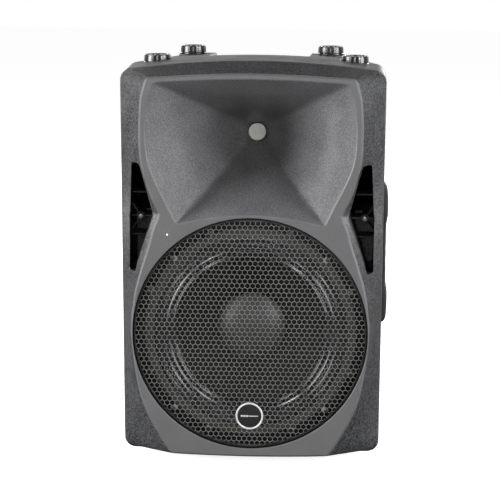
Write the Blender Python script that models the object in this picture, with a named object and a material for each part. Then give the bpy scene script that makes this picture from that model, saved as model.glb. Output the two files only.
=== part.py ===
"""PA speaker cabinet: a 12-inch two-way active loudspeaker in a moulded two-part enclosure.

World frame: metres, +Z up, the front faces -Y and +X is to the right seen from the front.
The origin lies on the floor under the middle of the cabinet.
Lengths below are millimetres. at() turns them into world metres.
"""

import math

import bmesh
import bpy
from mathutils import Vector

MM = 0.001
GAP = 0.3  # clearance between two pieces that touch
BIG_ROUND, MIDDLE_ROUND, SMALL_ROUND = 36, 24, 18  # sides of round pieces, by size

# Cabinet
DEPTH = 370.0
WOOFER_UP = 188.0  # height of the woofer's axis above the floor
BOTTOM = -175.7  # underside of the enclosure, from the woofer's axis
FACE_WALL = 8.0
FACE_INSET = 7.0  # how far the inside of the face stays within its outline
RIM_LIP = 3.0
RIM_DEPTH = 45.0  # parting line between the baffle and the rear shell
SEAL = 1.0
SHELL_START = RIM_DEPTH + SEAL + 2 * GAP
SHELL_WALL = 5.0

# Rear shell
BELT_START, BELT_END = 53.0, 133.0
RIM_HALF, BELT_HALF, REAR_HALF = 178.8, 181.5, 128.0
FOOT_NARROWING = 2.8  # the sides lean in by this much down to the bottom
TOP_CORNER, BOTTOM_CORNER = 16.0, 20.0

# Woofer recess and grille
RECESS_R, RECESS_FLOOR = 161.0, 22.0
CUP_R, SHELF_BACK = 163.5, 30.0
CUTOUT_R = 141.0
GRILLE_R, GRILLE_FRONT, GRILLE_SHEET = 159.6, 2.6, 1.0
BOLT_CIRCLE = 149.0
BADGE_UP = -115.0
LED_AT = (-112.7, 137.3)

# Horn
THROAT_R, THROAT_UP, THROAT_DEPTH = 12.7, 257.4, 182.0
HORN_WALL = 3.5
HORN_FLARE = 0.15  # how much faster the horn opens at its mouth than a straight cone
FLANGE_R = 45.0

# Ports
DUCT_WALL, DUCT_BACK, DUCT_CLEARANCE = 3.0, 118.0, 2.5
PORT_RIBS = (186.0, 153.0, 127.0)
PORT_BOSS_X = 155.0

# Voice coil and magnet
COIL_R, COIL_WALL = 31.4, 0.8
EDGE_R = 110.0  # where the cone meets its surround

# Amplifier panel
PANEL_HALF_X, PANEL_LOW, PANEL_HIGH = 100.0, -155.0, 145.0
PANEL_LEDGE = 12.0
PANEL_BACK = 356.3  # inner face of the panel
PANEL_FACE = 358.8  # outer face of the panel
ON_PANEL = PANEL_FACE + GAP
KNOBS = (("knob_mic", -66.0), ("knob_line", -22.0), ("knob_bass", 22.0), ("knob_treble", 66.0))
KNOB_UP = 120.0
INPUT_AT, LINK_AT = (58.0, 72.0), (14.0, 72.0)
JACKS_AT = ((-22.0, 72.0), (-48.0, 72.0))
BUTTON_AT = (-76.0, 72.0)
INLET_AT, SWITCH_AT, SELECTOR_AT = (-55.0, 2.0), (0.0, 2.0), (52.0, 2.0)
SWITCH_PIVOT, SWITCH_TILT = 353.0, math.radians(10)
SCREW_HEIGHTS = (-149.0, -53.0, 43.0, 139.0)
SCREW_X = 94.0
FINS = 13
TOROID_AT = (-30.0, -92.0)
CAPACITORS_AT = ((-10.0, 70.0), (28.0, 70.0))

# Handles, feet and pole socket
POCKET_HALF, POCKET_FRONT, POCKET_BACK, POCKET_FLOOR = 72.0, 185.0, 262.0, 312.0
CHANNEL_FLOOR = 350.0
POCKET_WALL = 4.0
SIDE_POCKET = (124.0, 182.0, 30.0, 150.0, 146.0)  # depth range, height range, inner x
HANDLE_LOW, HANDLE_HIGH, HANDLE_OUT = -10.0, 190.0, 188.5
HANDLE_SCREWS = (12.0, 168.0)
HANDLE_DEPTH = 151.0
FOOT_HEIGHT, FOOT_R = 12.0, 19.2
TOP_FEET = ((138.5, 136.0), (102.5, 306.0))
BOTTOM_FEET = ((130.0, 110.0), (98.0, 300.0))
TOP_SEAT = 370.8 - FOOT_HEIGHT - GAP
POLE_DEPTH, POLE_R, POLE_WALL, POLE_LENGTH = 190.0, 18.0, 4.0, 76.0
CABLE_R = 2.4

# Right half of the front from top centre to bottom centre: a point (x, up) of the raised face,
# then the point of the rim that it slopes back to.
STATIONS = (
    ((0.0, 356.7), (0.0, 369.7)),
    ((34.0, 356.2), (40.0, 369.0)),
    ((67.7, 354.9), (80.0, 366.9)),
    ((105.0, 353.0), (125.0, 362.8)),
    ((136.0, 351.0), (162.0, 358.0)),
    ((143.5, 343.5), (174.0, 352.5)),
    ((149.5, 320.0), (178.8, 335.0)),
    ((151.6, 281.0), (178.8, 285.0)),
    ((150.0, 240.0), (178.8, 240.0)),
    ((144.4, 212.4), (178.8, 212.4)),
    ((134.3, 185.6), (178.8, 185.6)),
    ((124.5, 165.0), (178.8, 165.0)),
    ((132.9, 144.3), (178.7, 144.3)),
    ((138.9, 121.8), (178.6, 121.8)),
    ((148.9, 91.2), (178.4, 91.2)),
    ((158.4, 55.2), (178.1, 53.0)),
    ((163.4, 7.7), (177.6, 5.0)),
    ((158.3, -50.8), (177.0, -55.0)),
    ((150.4, -89.8), (176.6, -98.0)),
    ((138.3, -120.7), (176.2, -135.0)),
    ((123.5, -148.0), (175.5, -158.0)),
    ((113.0, -166.0), (169.5, -170.5)),
    ((107.0, -173.5), (156.0, BOTTOM)),
    ((50.0, -173.5), (75.0, BOTTOM)),
    ((0.0, -173.5), (0.0, BOTTOM)),
)

# Right half of the horn's mouth (x, up), and the direction in degrees of its point on the throat.
MOUTH = (
    ((0.0, 348.9), 90.0),
    ((67.7, 347.0), 68.0),
    ((130.4, 343.2), 45.0),
    ((138.2, 320.0), 30.0),
    ((142.6, 280.0), 12.0),
    ((140.0, 240.6), -5.0),
    ((130.6, 212.5), -20.0),
    ((117.2, 185.5), -33.0),
    ((101.0, 151.5), -45.0),
    ((51.6, 161.8), -68.0),
    ((0.0, 165.9), -90.0),
)

# Outline of the right port's opening (x, up).
PORT = (
    (151.0, 230.0),
    (162.0, 230.5),
    (166.0, 157.0),
    (166.0, 84.0),
    (158.0, 83.0),
    (155.0, 97.0),
    (145.2, 127.7),
    (133.0, 163.6),
    (141.4, 196.6),
)

LOOKS = {  # colour, roughness, metallic
    "face_plastic": ((0.10, 0.10, 0.105), 0.55, 0.0),
    "shell_plastic": ((0.05, 0.05, 0.055), 0.6, 0.0),
    "black_plastic": ((0.02, 0.02, 0.02), 0.45, 0.0),
    "rubber": ((0.012, 0.012, 0.012), 0.5, 0.0),
    "grille_paint": ((0.05, 0.05, 0.05), 0.5, 0.6),
    "black_steel": ((0.04, 0.04, 0.04), 0.45, 0.8),
    "zinc_steel": ((0.6, 0.6, 0.62), 0.35, 1.0),
    "silver": ((0.75, 0.75, 0.76), 0.25, 1.0),
    "led_white": ((0.9, 0.92, 0.95), 0.3, 0.0),
    "cone_paper": ((0.035, 0.035, 0.035), 0.8, 0.0),
    "ferrite": ((0.05, 0.048, 0.045), 0.7, 0.0),
    "amber_former": ((0.35, 0.2, 0.08), 0.5, 0.0),
    "spider_cloth": ((0.6, 0.45, 0.2), 0.9, 0.0),
    "black_aluminium": ((0.03, 0.03, 0.032), 0.45, 0.7),
    "board_green": ((0.03, 0.15, 0.06), 0.6, 0.0),
    "tape_yellow": ((0.6, 0.45, 0.08), 0.5, 0.0),
    "red_plastic": ((0.5, 0.02, 0.02), 0.4, 0.0),
    "wire_red": ((0.3, 0.02, 0.02), 0.5, 0.0),
}


def at(x, up, depth):
    """A world point, from millimetres across, above the woofer's axis and behind the front."""
    return Vector((x * MM, (depth - DEPTH / 2) * MM, (up + WOOFER_UP) * MM))


def look(name):
    """The material of that name, made on first use."""
    found = bpy.data.materials.get(name)
    if found:
        return found
    colour, roughness, metallic = LOOKS[name]
    made = bpy.data.materials.new(name)
    made.use_nodes = True
    shader = made.node_tree.nodes["Principled BSDF"]
    shader.inputs["Base Color"].default_value = (*colour, 1)
    shader.inputs["Roughness"].default_value = roughness
    shader.inputs["Metallic"].default_value = metallic
    return made


def piece(name, shape, look_name):
    """An object from a finished shape, with its faces turned outwards and its round parts smooth."""
    bmesh.ops.recalc_face_normals(shape, faces=shape.faces[:])
    mesh = bpy.data.meshes.new(name)
    shape.to_mesh(mesh)
    shape.free()
    mesh.materials.append(look(look_name))
    mesh.shade_smooth()
    mesh.set_sharp_from_angle(angle=math.radians(32))
    made = bpy.data.objects.new(name, mesh)
    bpy.context.scene.collection.objects.link(made)
    return made


def combine(target, shape, operation, name):
    """Adds or removes a helper shape on a piece with a Boolean modifier."""
    tool = piece(name, shape, "black_plastic")
    tool.hide_render = True
    tool.display_type = "WIRE"
    modifier = target.modifiers.new(name, "BOOLEAN")
    modifier.operation = operation
    modifier.solver = "EXACT"
    modifier.object = tool


def cut(target, shape, name):
    combine(target, shape, "DIFFERENCE", name)


def add(target, shape, name):
    combine(target, shape, "UNION", name)


def pivot(name, point, *pieces):
    """An empty on a joint's axis that holds the pieces which move with it."""
    holder = bpy.data.objects.new(name, None)
    holder.location = point
    bpy.context.scene.collection.objects.link(holder)
    bpy.context.view_layer.update()
    for member in pieces:
        member.parent = holder
        member.matrix_parent_inverse = holder.matrix_world.inverted()


def skin(shape, rings, closed=False):
    """Joins rings of equally many points. Both ends are capped unless the rings close on themselves."""
    loops = [[shape.verts.new(point) for point in ring] for ring in rings]
    pairs = list(zip(loops, loops[1:]))
    if closed:
        pairs.append((loops[-1], loops[0]))
    for first, second in pairs:
        for i, corner in enumerate(first):
            j = (i + 1) % len(first)
            shape.faces.new((corner, first[j], second[j], second[i]))
    if not closed:
        shape.faces.new(loops[0])
        shape.faces.new(loops[-1])


AXES = {
    "X": (Vector((0, 1, 0)), Vector((0, 0, 1)), Vector((1, 0, 0))),
    "Y": (Vector((0, 0, 1)), Vector((1, 0, 0)), Vector((0, 1, 0))),
    "Z": (Vector((1, 0, 0)), Vector((0, 1, 0)), Vector((0, 0, 1))),
}


def turn(shape, profile, centre, axis="Y", steps=SMALL_ROUND, ring=False):
    """Turns a profile of (radius, distance along the axis) about the axis through the centre."""
    u, v, along = AXES[axis]
    angles = [math.tau * i / steps for i in range(steps)]
    rings = []
    for radius, distance in profile:
        middle = centre + along * distance * MM
        rings.append([middle + (u * math.cos(a) + v * math.sin(a)) * radius * MM for a in angles])
    skin(shape, rings, closed=ring)


def turned(name, look_name, profile, centre, axis="Y", steps=SMALL_ROUND, ring=False):
    """A turned piece of its own."""
    shape = bmesh.new()
    turn(shape, profile, centre, axis, steps, ring)
    return piece(name, shape, look_name)


def prism(shape, outline, front, back):
    """An outline of (x, up) points, extruded from one depth to another."""
    skin(shape, [[at(x, up, depth) for x, up in outline] for depth in (front, back)])


def block(shape, x_range, up_range, depth_range):
    """A plain rectangular block."""
    (x0, x1), (up0, up1) = x_range, up_range
    prism(shape, ((x0, up0), (x1, up0), (x1, up1), (x0, up1)), *depth_range)


def blocked(name, look_name, *blocks):
    """A piece made of separate blocks."""
    shape = bmesh.new()
    for ranges in blocks:
        block(shape, *ranges)
    return piece(name, shape, look_name)


def round_places(radius, count, start_degrees):
    """Points (x, up) spread evenly round the woofer's axis."""
    angles = [math.radians(start_degrees + 360 * i / count) for i in range(count)]
    return [(radius * math.cos(a), radius * math.sin(a)) for a in angles]


def both_sides(half):
    """A closed outline from its right half, which runs from the top centre to the bottom centre."""
    return list(half) + [(-x, up) for x, up in reversed(half[1:-1])]


def inset(outline, amount):
    """Moves each side of a clockwise outline inwards by the amount."""
    moved = []
    for i, point in enumerate(outline):
        here = Vector(point)
        arriving = (here - Vector(outline[i - 1])).normalized()
        leaving = (Vector(outline[(i + 1) % len(outline)]) - here).normalized()
        side = Vector((arriving.y, -arriving.x))
        inwards = (side + Vector((leaving.y, -leaving.x))).normalized()
        moved.append(tuple(here + inwards * amount / max(0.6, inwards.dot(side))))
    return moved


def blend(low, high, share):
    return low + (high - low) * share


# ---- enclosure ----


def face_edge(up):
    """Half-width of the raised face at a height on its side."""
    side = [face for face, _ in STATIONS if face[0] > 120.0]
    lower = max((face for face in side if face[1] <= up), key=lambda face: face[1])
    upper = min((face for face in side if face[1] > up), key=lambda face: face[1])
    return blend(lower[0], upper[0], (up - lower[1]) / (upper[1] - lower[1]))


def duct_front(x, up):
    """Depth at which a duct starts: just behind the inside of the sloping side facet."""
    inside_edge = face_edge(up) - FACE_INSET - 0.5
    inside_rim = RIM_HALF - SHELL_WALL
    share = (x - inside_edge) / (inside_rim - inside_edge)
    return blend(FACE_WALL, RIM_DEPTH - RIM_LIP, share) + DUCT_CLEARANCE


def horn_ring(depth, grow=0.0):
    """The horn's inside outline at a depth, grown outwards by a wall where one is given."""
    t = depth / THROAT_DEPTH
    share = t * (1 + HORN_FLARE - HORN_FLARE * t)
    half = []
    for (x, up), degrees in MOUTH:
        angle = math.radians(degrees)
        throat_x = THROAT_R * math.cos(angle)
        throat_up = THROAT_UP + THROAT_R * math.sin(angle)
        half.append((max(0.0, blend(x, throat_x, share)), blend(up, throat_up, share)))
    half[0] = (0.0, half[0][1])
    half[-1] = (0.0, half[-1][1])
    return inset(both_sides(half), -grow)


def flange_ring(radius):
    """A circle about the throat with one point for each point of the horn's outline."""
    half = []
    for _, degrees in MOUTH:
        angle = math.radians(degrees)
        half.append((radius * math.cos(angle), THROAT_UP + radius * math.sin(angle)))
    return both_sides(half)


def spread(outline, depth):
    return [at(x, up, depth) for x, up in outline]


def make_front_baffle():
    """Front moulding: raised waisted face, facets back to the rim, woofer recess and port openings."""
    face = both_sides([s[0] for s in STATIONS])
    rim = both_sides([s[1] for s in STATIONS])
    edge = 3.0
    shape = bmesh.new()
    skin(
        shape,
        [
            spread(inset(face, edge), 0.0),
            spread(face, edge),
            spread(rim, RIM_DEPTH - 2.0),
            spread(rim, RIM_DEPTH),
            spread(inset(rim, SHELL_WALL - 1.0), RIM_DEPTH),
            spread(inset(rim, SHELL_WALL), RIM_DEPTH - RIM_LIP),
            spread(inset(face, FACE_INSET), FACE_WALL),
        ],
    )
    baffle = piece("front_baffle", shape, "face_plastic")

    cup = bmesh.new()
    turn(cup, [(CUP_R, 6.0), (CUP_R, SHELF_BACK)], at(0, 0, 0), steps=BIG_ROUND)
    add(baffle, cup, "tool_recess_cup")

    recess = bmesh.new()
    turn(
        recess,
        [(RECESS_R, -2), (RECESS_R, RECESS_FLOOR), (CUTOUT_R, RECESS_FLOOR), (CUTOUT_R, 40)],
        at(0, 0, 0),
        steps=BIG_ROUND,
    )
    cut(baffle, recess, "tool_recess")

    mouth = bmesh.new()
    skin(mouth, [spread(horn_ring(depth), depth) for depth in (-2.0, FACE_WALL + 2.0)])
    cut(baffle, mouth, "tool_mouth")

    openings = bmesh.new()
    for side in (-1, 1):
        prism(openings, [(side * x, up) for x, up in PORT], -2.0, RIM_DEPTH - 1.0)
    cut(baffle, openings, "tool_ports")

    holes = bmesh.new()
    for x, up in round_places(BOLT_CIRCLE, 8, 22.5) + round_places(BOLT_CIRCLE, 4, 45.0):
        turn(holes, [(2.7, 20.0), (2.7, 34.0)], at(x, up, 0), steps=6)
    turn(holes, [(1.9, -1.0), (1.9, FACE_WALL + 1.0)], at(*LED_AT, 0), steps=10)
    cut(baffle, holes, "tool_front_holes")


def make_horn():
    """Horn flare: a thin moulded horn from the mouth behind the face to the driver's flange."""
    starts = FACE_WALL + GAP
    depths = [starts, 35.0, 75.0, 125.0, THROAT_DEPTH - 4.0]
    rings = [spread(horn_ring(depth), depth) for depth in depths + [THROAT_DEPTH]]
    rings.append(spread(flange_ring(THROAT_R), THROAT_DEPTH + 2.0))
    rings.append(spread(flange_ring(FLANGE_R), THROAT_DEPTH + 2.0))
    rings.append(spread(flange_ring(FLANGE_R), THROAT_DEPTH - 4.0))
    rings += [spread(horn_ring(depth, HORN_WALL), depth) for depth in reversed(depths)]
    shape = bmesh.new()
    skin(shape, rings, closed=True)
    horn = piece("horn_flare", shape, "face_plastic")
    holes = bmesh.new()
    for side in (-1, 1):
        turn(holes, [(3.4, 170.0), (3.4, 190.0)], at(side * 38.1, THROAT_UP, 0), steps=8)
    cut(horn, holes, "tool_horn_bolts")


def make_port_duct(name, side):
    """Port duct behind one opening, with thin cross ribs and a screw boss."""
    inner = list(PORT)
    outer = inset(PORT, -DUCT_WALL)

    def ring(outline, depth=None):
        return [at(side * x, up, depth or duct_front(x, up)) for x, up in outline]

    shape = bmesh.new()
    skin(shape, [ring(inner), ring(inner, DUCT_BACK), ring(outer, DUCT_BACK), ring(outer)], closed=True)
    duct = piece(name, shape, "black_plastic")
    ribs = bmesh.new()
    for up in PORT_RIBS:
        block(ribs, sorted((side * 132.0, side * 167.5)), (up - 1.2, up + 1.2), (62.0, 100.0))
    add(duct, ribs, "tool_ribs_" + name)
    boss = bmesh.new()
    turn(boss, [(6.0, 58.0), (6.0, 90.0)], at(side * PORT_BOSS_X, PORT_RIBS[1], 0), steps=12)
    add(duct, boss, "tool_boss_" + name)
    hole = bmesh.new()
    turn(hole, [(2.2, 50.0), (2.2, 84.0)], at(side * PORT_BOSS_X, PORT_RIBS[1], 0), steps=8)
    cut(duct, hole, "tool_boss_hole_" + name)


def half_width(depth):
    """Half the rear shell's width at a depth."""
    if depth < BELT_START:
        return blend(RIM_HALF, BELT_HALF, (depth - RIM_DEPTH) / (BELT_START - RIM_DEPTH))
    if depth < BELT_END:
        return BELT_HALF
    return blend(BELT_HALF, REAR_HALF, (depth - BELT_END) / (DEPTH - BELT_END))


def crest(depth):
    """Heights of the rear shell's top at its middle and at its shoulders, at a depth."""
    if depth < BELT_END:
        share = (depth - RIM_DEPTH) / (BELT_END - RIM_DEPTH)
        return blend(369.7, 370.0, share), blend(358.0, 360.0, share)
    share = (depth - BELT_END) / (DEPTH - BELT_END)
    return blend(370.0, 357.0, share), blend(360.0, 353.0, share)


def arc(x, up, radius, degrees):
    return [
        (x + radius * math.cos(math.radians(d)), up + radius * math.sin(math.radians(d)))
        for d in degrees
    ]


def shell_outline(depth):
    """Outline of the rear shell at a depth: arched top, leaning sides, flat bottom, round corners."""
    width = half_width(depth)
    middle, shoulder = crest(depth)
    arch_end = width - TOP_CORNER
    low_width = width - FOOT_NARROWING
    half = [(arch_end * s, middle - (middle - shoulder) * s * s) for s in (0, 0.25, 0.5, 0.75, 1)]
    half += arc(arch_end, shoulder - TOP_CORNER, TOP_CORNER, (60, 30, 0))
    half += [(blend(low_width, width, (up - BOTTOM) / 530.0), up) for up in (240, 120, 0, -90)]
    half += arc(low_width - BOTTOM_CORNER, BOTTOM + BOTTOM_CORNER, BOTTOM_CORNER, (0, -30, -60, -90))
    half += [(low_width * 0.4, BOTTOM), (0.0, BOTTOM)]
    return both_sides(half)


def feet_places(places):
    """Both sides of each (x, depth) pair."""
    return [(side * x, depth) for x, depth in places for side in (-1, 1)]


def roof_middle(depth):
    """Height inside the thickness of the roof, over its middle part, at a depth."""
    return crest(depth)[0] - SHELL_WALL * 0.75


def make_rear_shell():
    """Rear moulding: belt, tapered sides, handle pockets, foot seats and the amplifier's opening."""
    outer = [SHELL_START, BELT_START, BELT_END, DEPTH - 6.0]
    inner = [DEPTH - 6.0, BELT_END, BELT_START, SHELL_START]
    rings = [spread(shell_outline(depth), depth) for depth in outer]
    rings.append(spread(inset(shell_outline(DEPTH), 5.0), DEPTH))
    shape = bmesh.new()
    inside = [spread(inset(shell_outline(depth), SHELL_WALL), depth) for depth in inner]
    skin(shape, list(reversed(rings)) + list(reversed(inside)))
    shell = piece("rear_shell", shape, "shell_plastic")

    walls = bmesh.new()
    rings = []
    pocket_start, pocket_end = POCKET_FRONT - POCKET_WALL, POCKET_BACK + POCKET_WALL
    for depth, low in (
        (pocket_start, POCKET_FLOOR - POCKET_WALL),
        (pocket_end, POCKET_FLOOR - POCKET_WALL),
        (pocket_end, CHANNEL_FLOOR - POCKET_WALL),
        (DEPTH - 4.0, CHANNEL_FLOOR - POCKET_WALL),
        (DEPTH - 4.0, roof_middle(DEPTH - 4.0)),
        (pocket_start, roof_middle(pocket_start)),
    ):
        rings.append((depth, low))
    half = POCKET_HALF + POCKET_WALL
    skin(walls, [[at(x, up, depth) for depth, up in rings] for x in (-half, half)])
    add(shell, walls, "tool_pocket_walls")
    frame = bmesh.new()
    block(
        frame,
        (-PANEL_HALF_X - 8, PANEL_HALF_X + 8),
        (PANEL_LOW - 8, PANEL_HIGH + 8),
        (PANEL_BACK - 12.0, 366.0),
    )
    add(shell, frame, "tool_panel_frame")
    near, far, low, high, deep = SIDE_POCKET
    for side, label in ((-1, "left"), (1, "right")):
        cheeks = bmesh.new()
        depths = (near - POCKET_WALL, BELT_END, far + POCKET_WALL)
        section = [(deep - POCKET_WALL, depths[0])]
        section += [(half_width(depth) - SHELL_WALL / 2, depth) for depth in depths]
        section.append((deep - POCKET_WALL, depths[-1]))
        ends = (low - POCKET_WALL, high + POCKET_WALL)
        skin(cheeks, [[at(side * x, up, depth) for x, depth in section] for up in ends])
        add(shell, cheeks, "tool_side_walls_" + label)
    pads = bmesh.new()
    for x, depth in feet_places(TOP_FEET):
        turn(pads, [(FOOT_R + 4.5, -9.0), (FOOT_R + 3.5, 2.5)], at(x, TOP_SEAT, depth), "Z", 14)
    add(shell, pads, "tool_foot_pads")

    seats = bmesh.new()
    for x, depth in feet_places(TOP_FEET):
        turn(seats, [(FOOT_R + 0.8, 0.0), (FOOT_R + 0.8, 20.0)], at(x, TOP_SEAT, depth), "Z", 14)
    cut(shell, seats, "tool_foot_seats")

    pockets = bmesh.new()
    block(pockets, (-POCKET_HALF, POCKET_HALF), (POCKET_FLOOR, 400.0), (POCKET_FRONT, POCKET_BACK))
    cut(shell, pockets, "tool_pocket")
    channel = bmesh.new()
    block(channel, (-POCKET_HALF, POCKET_HALF), (CHANNEL_FLOOR, 400.0), (POCKET_BACK - 1.0, 380.0))
    cut(shell, channel, "tool_channel")
    sides = bmesh.new()
    for side in (-1, 1):
        block(sides, sorted((side * deep, side * 200.0)), (low, high), (near, far))
    cut(shell, sides, "tool_side_pockets")

    opening = bmesh.new()
    inner_x = PANEL_HALF_X - PANEL_LEDGE
    block(
        opening,
        (-inner_x, inner_x),
        (PANEL_LOW + PANEL_LEDGE, PANEL_HIGH - PANEL_LEDGE),
        (330.0, 380.0),
    )
    cut(shell, opening, "tool_amp_opening")
    recess = bmesh.new()
    lip = 0.6
    block(
        recess,
        (-PANEL_HALF_X - lip, PANEL_HALF_X + lip),
        (PANEL_LOW - lip, PANEL_HIGH + lip),
        (PANEL_BACK - GAP, 380.0),
    )
    cut(shell, recess, "tool_amp_recess")

    holes = bmesh.new()
    for x, depth in feet_places(TOP_FEET):
        turn(holes, [(2.6, -12.0), (2.6, 2.0)], at(x, TOP_SEAT, depth), "Z", 6)
    for x, depth in feet_places(BOTTOM_FEET):
        turn(holes, [(2.6, -2.0), (2.6, 12.0)], at(x, BOTTOM, depth), "Z", 6)
    for up in SCREW_HEIGHTS:
        for side in (-1, 1):
            turn(holes, [(2.2, 342.0), (2.2, 358.0)], at(side * SCREW_X, up, 0), steps=6)
    for up in HANDLE_SCREWS:
        for side in (-1, 1):
            centre = at(side * 160.0, up, HANDLE_DEPTH)
            turn(holes, [(2.6, -side * 2.0), (2.6, side * 30.0)], centre, "X", 8)
    turn(
        holes,
        [(POLE_R + POLE_WALL + 0.5, -4.0), (POLE_R + POLE_WALL + 0.5, 12.0)],
        at(0, BOTTOM, POLE_DEPTH),
        "Z",
        32,
    )
    cut(shell, holes, "tool_shell_holes")


def make_shell_seal():
    """Thin sealing cord between the baffle's rim and the rear shell."""
    rim = both_sides([s[1] for s in STATIONS])
    front, back = RIM_DEPTH + GAP, RIM_DEPTH + GAP + SEAL
    shape = bmesh.new()
    skin(
        shape,
        [
            spread(inset(rim, 1.5), front),
            spread(inset(rim, 1.5), back),
            spread(inset(rim, 3.8), back),
            spread(inset(rim, 3.8), front),
        ],
        closed=True,
    )
    piece("shell_seal", shape, "rubber")


# ---- front fittings ----


def make_port_screw(name, side):
    """Long screw in a port's boss, driven in from the front to clamp the two mouldings together."""
    profile = [(3.2, -2.6), (4.2, -1.2), (4.2, 0), (1.8, 0), (1.8, 24.0)]
    centre = at(side * PORT_BOSS_X, PORT_RIBS[1], 58.0 - GAP)
    turned(name, "zinc_steel", profile, centre, steps=12)


def make_grille():
    """Grille: a flat steel disc with its edge bent back and four screw holes."""
    back = GRILLE_FRONT + GRILLE_SHEET
    grille = turned(
        "grille",
        "grille_paint",
        [(GRILLE_R, GRILLE_FRONT), (GRILLE_R, 14.0), (GRILLE_R - 1.2, 14.0), (GRILLE_R - 1.2, back)],
        at(0, 0, 0),
        steps=BIG_ROUND,
    )
    holes = bmesh.new()
    for x, up in round_places(BOLT_CIRCLE, 4, 45.0):
        turn(holes, [(2.6, 0.0), (2.6, 8.0)], at(x, up, 0), steps=8)
    cut(grille, holes, "tool_grille_holes")


def make_badge_and_led():
    """Plain round badge on the grille, and the indicator lamp in the face."""
    profile = [(18.0, 2.3), (17.6, 0.9), (16.8, 0.5), (16.0, 0.9), (15.7, 1.2)]
    turned("badge", "silver", profile, at(0, BADGE_UP, 0), steps=MIDDLE_ROUND)
    turned("power_led", "led_white", [(1.0, 0.2), (1.5, 0.7), (1.5, 12.0)], at(*LED_AT, 0), steps=12)


# ---- woofer ----


def make_woofer_frame():
    """Cast basket: mounting flange, sloping wall with windows, ledge for the spider, back ring."""
    frame = turned(
        "woofer_frame",
        "black_steel",
        [
            (155.0, 19.5),
            (155.0, 21.7),
            (139.5, 21.7),
            (136.5, 32.0),
            (92.0, 76.0),
            (88.0, 84.0),
            (66.0, 88.5),
            (64.0, 90.7),
            (34.5, 90.7),
            (34.5, 86.0),
            (60.0, 85.0),
            (74.0, 80.0),
            (74.0, 76.3),
            (84.0, 76.3),
            (88.0, 74.0),
            (131.5, 31.0),
            (131.5, 19.5),
        ],
        at(0, 0, 0),
        steps=BIG_ROUND,
        ring=True,
    )
    windows = bmesh.new()
    for i in range(6):
        angle = math.tau * (i + 0.5) / 6
        across = Vector((math.cos(angle), 0, math.sin(angle)))
        along = Vector((-math.sin(angle), 0, math.cos(angle)))
        rings = []
        for depth in (38.0, 69.0):
            corners = ((96.0, -30.0), (140.0, -48.0), (140.0, 48.0), (96.0, 30.0))
            rings.append([at(0, 0, depth) + (across * r + along * t) * MM for r, t in corners])
        skin(windows, rings)
    cut(frame, windows, "tool_basket_windows")
    holes = bmesh.new()
    for x, up in round_places(BOLT_CIRCLE, 8, 22.5) + round_places(BOLT_CIRCLE, 4, 45.0):
        turn(holes, [(2.7, 15.0), (2.7, 25.0)], at(x, up, 0), steps=6)
    cut(frame, holes, "tool_frame_holes")


def surround_line(roll, lift):
    """The surround's line from its outer lip over the half roll to the cone's edge."""
    middle, base = (EDGE_R + 128.0) / 2, 18.2
    line = [(136.0, base + lift), (middle + roll, base + lift)]
    for step in range(1, 4):
        angle = math.pi * step / 4
        line.append((middle + roll * math.cos(angle), base - roll * math.sin(angle) + lift))
    return line + [(middle - roll, base + lift), (106.5, base + 1.4 + lift)]


def make_woofer_motor():
    """Everything on the woofer besides its frame: soft parts, cone, coil, magnet and terminals."""
    axis = at(0, 0, 0)
    surround = surround_line(9.0, 0.0) + list(reversed(surround_line(8.0, 1.0)))
    edge = turned("woofer_surround", "rubber", surround, axis, steps=BIG_ROUND, ring=True)
    turned(
        "woofer_gasket",
        "rubber",
        [(130.0, 16.6), (144.5, 16.6), (144.5, 19.2), (137.0, 19.2), (137.0, 17.9), (130.0, 17.9)],
        axis,
        steps=BIG_ROUND,
        ring=True,
    )
    cone_front = [(EDGE_R, 21.0), (95.0, 28.0), (72.0, 41.5), (47.0, 57.4), (33.0, 66.0)]
    cone_back = [(r, depth + 1.3) for r, depth in reversed(cone_front)]
    cone = turned("woofer_cone", "cone_paper", cone_front + cone_back, axis, steps=BIG_ROUND, ring=True)
    cap_front = [(1.5, 41.6), (16.0, 42.8), (29.0, 46.2), (40.0, 51.4), (47.0, 56.6)]
    cap_back = [(46.2, 56.9), (39.4, 52.1), (28.6, 47.1), (16.0, 43.8), (1.5, 42.6)]
    cap = turned("dust_cap", "cone_paper", cap_front + cap_back, axis, steps=MIDDLE_ROUND)
    outer = COIL_R + COIL_WALL
    coil = turned(
        "voice_coil",
        "amber_former",
        [(COIL_R, 68.2), (COIL_R, 106.0), (outer, 106.0), (outer, 68.2)],
        axis,
        steps=MIDDLE_ROUND,
        ring=True,
    )
    ripple = [(32.8 + 41.2 * i / 7, 75.4 + (-0.4 if i % 2 else 1.1)) for i in range(8)]
    line = [(84.0, 75.3)] + list(reversed(ripple))
    spider_line = line + [(r, depth + 0.7) for r, depth in reversed(line)]
    spider = turned("spider", "spider_cloth", spider_line, axis, steps=MIDDLE_ROUND, ring=True)
    pivot("cone_axis", axis, edge, cone, cap, coil, spider)

    turned(
        "top_plate",
        "zinc_steel",
        [(33.4, 91.0), (70.0, 91.0), (70.0, 99.0), (33.4, 99.0)],
        axis,
        steps=MIDDLE_ROUND,
        ring=True,
    )
    turned(
        "magnet",
        "ferrite",
        [(44.0, 99.3), (76.0, 99.3), (78.0, 101.3), (78.0, 117.0), (76.0, 119.0), (44.0, 119.0)],
        axis,
        steps=MIDDLE_ROUND,
        ring=True,
    )
    turned(
        "pole_piece",
        "zinc_steel",
        [(75.0, 127.3), (75.0, 119.3), (30.3, 119.3), (30.3, 91.5)],
        axis,
        steps=MIDDLE_ROUND,
    )
    block_of = ((-16, 16), (-112, -104), (78, 84))
    terminals = blocked("woofer_terminals", "red_plastic", block_of)
    posts = bmesh.new()
    block(posts, (-14, -5), (-111, -105), (82, 92))
    block(posts, (5, 14), (-111, -105), (82, 92))
    add(terminals, posts, "tool_terminal_posts")


# ---- compression driver ----


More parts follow.
